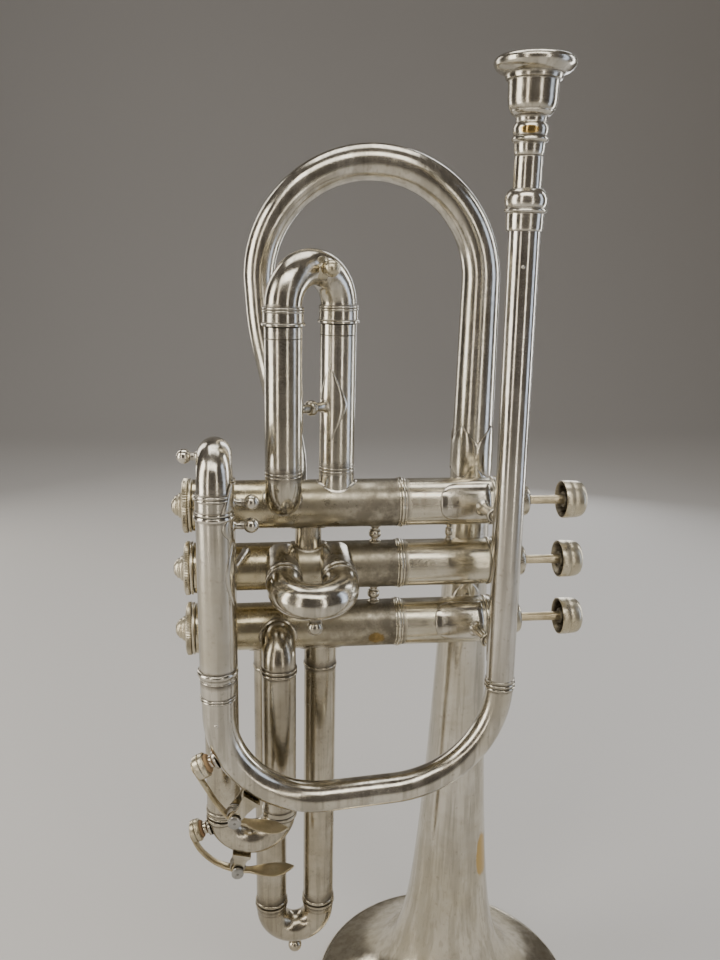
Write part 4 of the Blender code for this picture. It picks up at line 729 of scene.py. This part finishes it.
# ---- leadpipe braces -------------------------------------------------------------------------------
ldir = unit((LEAD_X1 - LEAD_X0, 0, LEAD_Z1 - LEAD_Z0))
for name, z, lo, hi, up, down in (("lead_brace_upper", VZ[0], -42, 64, 17.0, 20.0), ("lead_brace_lower", VZ[2], -36, 74, 16.0, 6.6)):
    def tongue(u, lo=lo, hi=hi):
        x = 91.0 + 19.5 * u
        f = math.sqrt(max(0.0, 1 - (1 - min(u / 0.36, 1.0)) ** 2)) if u < 0.36 else 1.0
        mid, half_w = (-hi - lo) / 2, (hi - lo) / 2
        return (x, mid - half_w * f - 0.5, mid + half_w * f + 0.5)
    pl = leaf("l", (0, 0, z), EX, (0, -1, 0), CR, 0.8, tongue, SILVER, 20, 34)
    xl = lead_x(z)
    post = turned("p", (107.0, -CR + 0.5, z), np.array((xl, MPY + 4.6, z)) - np.array((107.0, -CR + 0.5, z)),
                  [(0, 0), (0, 3.4), (0.8, 3.2, 0.5), (1.6, 2.4), (3.0, 2.0), (9.5, 1.7)] + bead(11.0, 1.7, 1.8, 0.9)[1:-1] + [(13.0, 1.7), (18.0, 2.0), (19.4, 2.6), (20.6, 3.4, 0.5), (20.9, 0)], SILVER, 32, closed=False)
    lf = leaf("l", (xl, MPY, z), ldir, (-0.25, 1, 0), 4.88, 0.5, lambda u, up=up, down=down: (-down + (up + down) * u, -88 * math.sin(math.pi * u) ** 0.8 - 1, 80 * math.sin(math.pi * u) ** 0.8 + 1), SILVER)
    done(join(pl, post, lf), ROOT, name)

# small turned post between the first two casings
o = baluster("post_97", (97.0, 0.5, VZ[0] - CR + 0.2), (97.0, 0.5, CR - 0.2), 1.0, 1.6, DULL, 0.8)
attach(o, ROOT)


# ---- water keys ---------------------------------------------------------------------------------------
def water_key(tag, body, centre, r_tube, cup_at, hinge_at, hinge_r, tail, y, cork_r, cup_len):
    cx, cz = centre

    def polar(deg, r, yy=y):
        a = math.radians(deg)
        return np.array((cx + r * math.cos(a), yy, cz + r * math.sin(a)))

    out = polar(cup_at, 1.0) - np.array((cx, y, cz))
    r0 = r_tube + 0.3
    nip = turned("n", polar(cup_at, r0 - 0.8), out, [(0, 1.3), (0, 3.4), (0.9, 3.3, 0.5), (1.3, 2.6), (1.8, 2.3), (3.0, 2.2), (3.0, 1.3, 0.9)], SILVER, 28, ref=EY)
    done(nip, ROOT, tag + "_nipple")
    ck = turned("k", polar(cup_at, r0 + 2.3), out, [(0, 0), (0, cork_r - 0.3), (0.3, cork_r), (1.8, cork_r), (1.8, 0)], CORK, 32, ref=EY, closed=False)
    done(ck, body, tag + "_cork")
    c0 = r0 + 2.45 + 1.9
    hinge = polar(hinge_at, hinge_r)
    track = c0 + cup_len
    ctrl = [polar(cup_at - 3.5, track - 0.1), polar(cup_at + (hinge_at - cup_at) * 0.35, track + 0.5),
            polar(cup_at + (hinge_at - cup_at) * 0.7, (track + hinge_r + 2.0) / 2 + 0.5), polar(hinge_at, hinge_r + 2.0)]
    ctrl += [np.array((tx, y, tz)) for tx, tz in tail]
    rt_ = Route([spline(ctrl, 24)], EY)
    e = rt_.length
    near = min(range(len(rt_.p)), key=lambda i: np.linalg.norm(rt_.p[i] - ctrl[3]))
    sh = rt_.s[near]
    keys = [(0, 0.3, 0.3), (0.8, 2.2, 0.5), (2.0, 3.0, 0.6), (3.4, 2.6, 0.65), (sh * 0.4, 1.7, 0.75), (sh * 0.75, 1.5, 0.8), (sh, 2.2, 0.8), (sh + (e - sh) * 0.22, 1.7, 0.7),
            (sh + (e - sh) * 0.45, 3.2, 0.55), (sh + (e - sh) * 0.65, 4.0, 0.5), (sh + (e - sh) * 0.82, 3.3, 0.45), (sh + (e - sh) * 0.94, 1.7, 0.4), (e, 0.3, 0.3)]
    ks = [q[0] for q in keys]
    rings = []
    for s in np.linspace(0, e, 60):
        p, t_, u, v_ = rt_.at(s)
        w = float(np.interp(s, ks, [q[1] for q in keys]))
        h = float(np.interp(s, ks, [q[2] for q in keys]))
        a_ = 2 * np.pi * np.arange(20) / 20
        ca, sa = np.cos(a_), np.sin(a_)
        rings.append(p + (w * np.sign(ca) * np.abs(ca) ** 0.75)[:, None] * u + (h * np.sign(sa) * np.abs(sa) ** 0.75)[:, None] * v_)
    p0, p1 = rt_.at(0)[0], rt_.at(e)[0]
    rings = [[p0]] + rings + [[p1]]
    lever = loft("lev", rings, [0.1] * len(rings), False, BRASSY)
    cup = turned("cup", polar(cup_at, c0 - 1.2), out, [(0, 0), (0, cork_r + 0.1, 0.8), (0.0, cork_r + 0.5), (0.3, cork_r + 0.9), (1.4, cork_r + 1.0), (1.8, cork_r + 0.8, 0.6), (2.1, cork_r + 1.05), (cup_len + 0.2, cork_r + 0.8), (cup_len + 0.8, cork_r * 0.9), (cup_len + 1.2, cork_r * 0.5), (cup_len + 1.3, 0)],
                 CAPS, 40, ref=EY, closed=False)
    barrel = turned("bar", (hinge[0], y - 2.9, hinge[2]), EY, [(0, 0), (0, 1.9, 0.6), (0.2, 2.15), (5.6, 2.15), (5.8, 1.9, 0.6), (5.8, 0)], BRASSY, 28, ref=EX, closed=False)
    done(join(lever, cup, barrel), body, tag + "_lever")
    rad = polar(hinge_at, 1.0) - np.array((cx, y, cz))
    tan = unit(np.cross(rad, EY))
    foot = polar(hinge_at, r0 + 0.2)
    parts = []
    tall = hinge_r - (r0 + 0.2)

    def slab(outline, cy, th, bev=0.25):
        vs = []
        k_ = len(outline)
        for off, sc in ((-th / 2, 0.94), (-th / 2 + bev, 1.0), (th / 2 - bev, 1.0), (th / 2, 0.94)):
            mx = np.mean([q[0] for q in outline])
            my = np.mean([q[1] for q in outline])
            vs.append([foot + np.array((0, cy + off, 0)) + tan * (mx + (a_ - mx) * sc) + rad * (my + (b_ - my) * sc) for a_, b_ in outline])
        verts = [q for ring in vs for q in ring]
        faces = [tuple(range(k_)), tuple(range(3 * k_, 4 * k_))]
        for i in range(3):
            for j in range(k_):
                jj = (j + 1) % k_
                faces.append((i * k_ + j, i * k_ + jj, (i + 1) * k_ + jj, (i + 1) * k_ + j))
        return build("s", verts, faces, SILVER, [0.1] * len(verts), None, [0.3] * len(verts), 50)

    for sy in (-3.75, 3.75):
        pts = [(-3.2, -0.6), (3.2, -0.6), (2.9, 0.4), (2.1, tall * 0.45)]
        for k_ in range(0, 9):
            a_ = math.radians(-20 + 220 * k_ / 8)
            pts.append((2.15 * math.cos(a_), tall + 2.15 * math.sin(a_)))
        pts += [(-2.1, tall * 0.45), (-2.9, 0.4)]
        parts.append(slab(pts, sy, 1.1))
    parts.append(slab([(-3.5, -0.9), (3.5, -0.9), (3.5, 0.3), (2.9, 0.75), (-2.9, 0.75), (-3.5, 0.3)], 0, 9.2, 0.4))
    screw = turned("sc", (hinge[0], y - 5.9, hinge[2]), EY, [(0, 0), (0.0, 0.35, 0.9), (-0.05, 0.5), (0, 1.9), (0.25, 2.3), (0.9, 2.35), (1.1, 2.1, 0.7), (1.1, 0.9), (10.6, 0.9), (10.6, 0)], STEEL, 32, ref=EX, closed=False)
    done(join(parts[0], *parts[1:], screw), ROOT, tag + "_saddle")
    # wire spring wound on the hinge
    hp = []
    for k_ in range(0, 121):
        a_ = 2 * math.pi * 4 * k_ / 120
        hp.append(np.array((hinge[0] + 2.75 * math.cos(a_), y - 2.2 + 4.4 * k_ / 120, hinge[2] + 2.75 * math.sin(a_))))
    sr = Route([np.array(hp)], EX)
    rings = [ring_pts(sr, s, 0.28, 8) for s in np.linspace(0, sr.length, 160)]
    sp = loft("spring_" + tag, rings, [0.25] * 160, False, STEEL)
    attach(sp, ROOT)


water_key("key1", "water_key_1", (c1[0], c1[2]), lead_bow_L + 5.7, 206.3, 232.7, 51.0, [(20.5, -84.9), (27.5, -87.0), (34.4, -88.2)], MPY, 3.4, 3.6)
water_key("key2", "water_key_2", (low_c[0], LOW_C - 0.3), low_rad + 6.2, 197.5, 256.0, 23.6, [(23.0, -119.4), (30.5, -119.8), (37.5, -118.9)], T2[1], 3.2, 3.0)

# ---- floor, light, camera ----------------------------------------------------------------------------
floor = bpy.data.meshes.new("floor")
vs, fs = [], []
prof = [(-2.4, 0.0), (1.3, 0.0)] + [(1.3 + 0.9 * math.sin(a), 0.9 - 0.9 * math.cos(a)) for a in np.radians(np.linspace(5, 90, 18))] + [(2.2, 3.2)]
for i, (yy, zz) in enumerate(prof):
    vs += [(-7.0, yy, zz), (7.0, yy, zz)]
    if i:
        fs.append((2 * i - 2, 2 * i - 1, 2 * i + 1, 2 * i))
floor.from_pydata(vs, [], fs)
floor.shade_smooth()
fm = bpy.data.materials.new("floor_pale")
fm.use_nodes = True
nt = fm.node_tree
bs = nt.nodes["Principled BSDF"]
bs.inputs["Roughness"].default_value = 0.85
nz = nt.nodes.new("ShaderNodeTexNoise")
nz.inputs["Scale"].default_value = 3.0
mx = nt.nodes.new("ShaderNodeMix")
mx.data_type = "RGBA"
mx.inputs[6].default_value = (0.60, 0.585, 0.56, 1)
mx.inputs[7].default_value = (0.64, 0.625, 0.60, 1)
nt.links.new(nz.outputs["Fac"], mx.inputs["Factor"])
nt.links.new(mx.outputs[2], bs.inputs["Base Color"])
floor.materials.append(fm)
fo = bpy.data.objects.new("floor", floor)
bpy.context.scene.collection.objects.link(fo)

world = bpy.data.worlds.new("studio")
bpy.context.scene.world = world
world.use_nodes = True
world.node_tree.nodes["Background"].inputs["Color"].default_value = (0.30, 0.268, 0.242, 1)
world.node_tree.nodes["Background"].inputs["Strength"].default_value = 0.42


def softbox(name, azimuth, dist, z, width, height, radiance, colour, tilt_to=0.2):
    """Upright or tilted soft light on a circle round the object; azimuth 0 is the camera's side, positive to +X."""
    a = math.radians(azimuth)
    loc = (0.0 + dist * math.sin(a), -dist * math.cos(a), z)
    d = bpy.data.lights.new(name, "AREA")
    d.shape = "RECTANGLE"
    d.size = width
    d.size_y = height
    d.energy = radiance * math.pi * width * height
    d.color = colour
    o = bpy.data.objects.new(name, d)
    o.location = loc
    o.rotation_euler = (Vector((0.0, 0.0, tilt_to)) - Vector(loc)).to_track_quat("-Z", "Y").to_euler()
    o.visible_camera = False
    bpy.context.scene.collection.objects.link(o)


softbox("left_wide", -80, 0.95, 0.50, 0.40, 1.0, 5.0, (1.0, 0.955, 0.88), 0.5)
softbox("left_strip", -38, 0.95, 0.50, 0.09, 1.0, 4.2, (1.0, 0.91, 0.80), 0.5)
softbox("right_strip", 20, 0.95, 0.50, 0.07, 1.0, 4.6, (1.0, 0.94, 0.85), 0.5)
softbox("right_cool", 72, 0.95, 0.50, 0.26, 1.0, 2.0, (0.62, 0.74, 1.0), 0.5)
softbox("right_back", 110, 0.95, 0.50, 0.16, 1.0, 6.0, (0.95, 0.97, 1.0), 0.5)
softbox("back_left", -140, 0.95, 0.55, 0.24, 0.9, 3.2, (1.0, 0.96, 0.90), 0.5)
softbox("back_right", 155, 0.95, 0.55, 0.20, 0.9, 3.0, (0.94, 0.96, 1.0), 0.5)
softbox("front_top", -12, 0.66, 1.05, 1.0, 0.34, 4.0, (1.0, 0.965, 0.90), 0.2)
softbox("over_top", 180, 0.25, 1.35, 1.0, 0.6, 3.2, (1.0, 0.98, 0.95), 0.2)

C = (22.536, -301.42, 112.071)
yaw, pitch, roll = (math.radians(q) for q in (7.563, 14.643, 1.171))
fw = Vector((math.sin(yaw) * math.cos(pitch), math.cos(yaw) * math.cos(pitch), -math.sin(pitch)))
rgt = Vector((math.cos(yaw), -math.sin(yaw), 0.0))
upv = rgt.cross(fw)
r2 = math.cos(roll) * rgt + math.sin(roll) * upv
u2 = -math.sin(roll) * rgt + math.cos(roll) * upv
cam_d = bpy.data.cameras.new("camera")
cam_d.sensor_fit = "AUTO"
cam_d.sensor_width = 36.0
cam_d.lens = 854.42 / 960.0 * 36.0
cam_d.clip_start = 0.01
cam_d.clip_end = 50.0
cam = bpy.data.objects.new("camera", cam_d)
bpy.context.scene.collection.objects.link(cam)
M = Matrix((
    (r2.x, u2.x, -fw.x, W(C)[0]),
    (r2.y, u2.y, -fw.y, W(C)[1]),
    (r2.z, u2.z, -fw.z, W(C)[2]),
    (0, 0, 0, 1)))
cam.matrix_world = M
bpy.context.scene.camera = cam

bpy.context.view_layer.update()
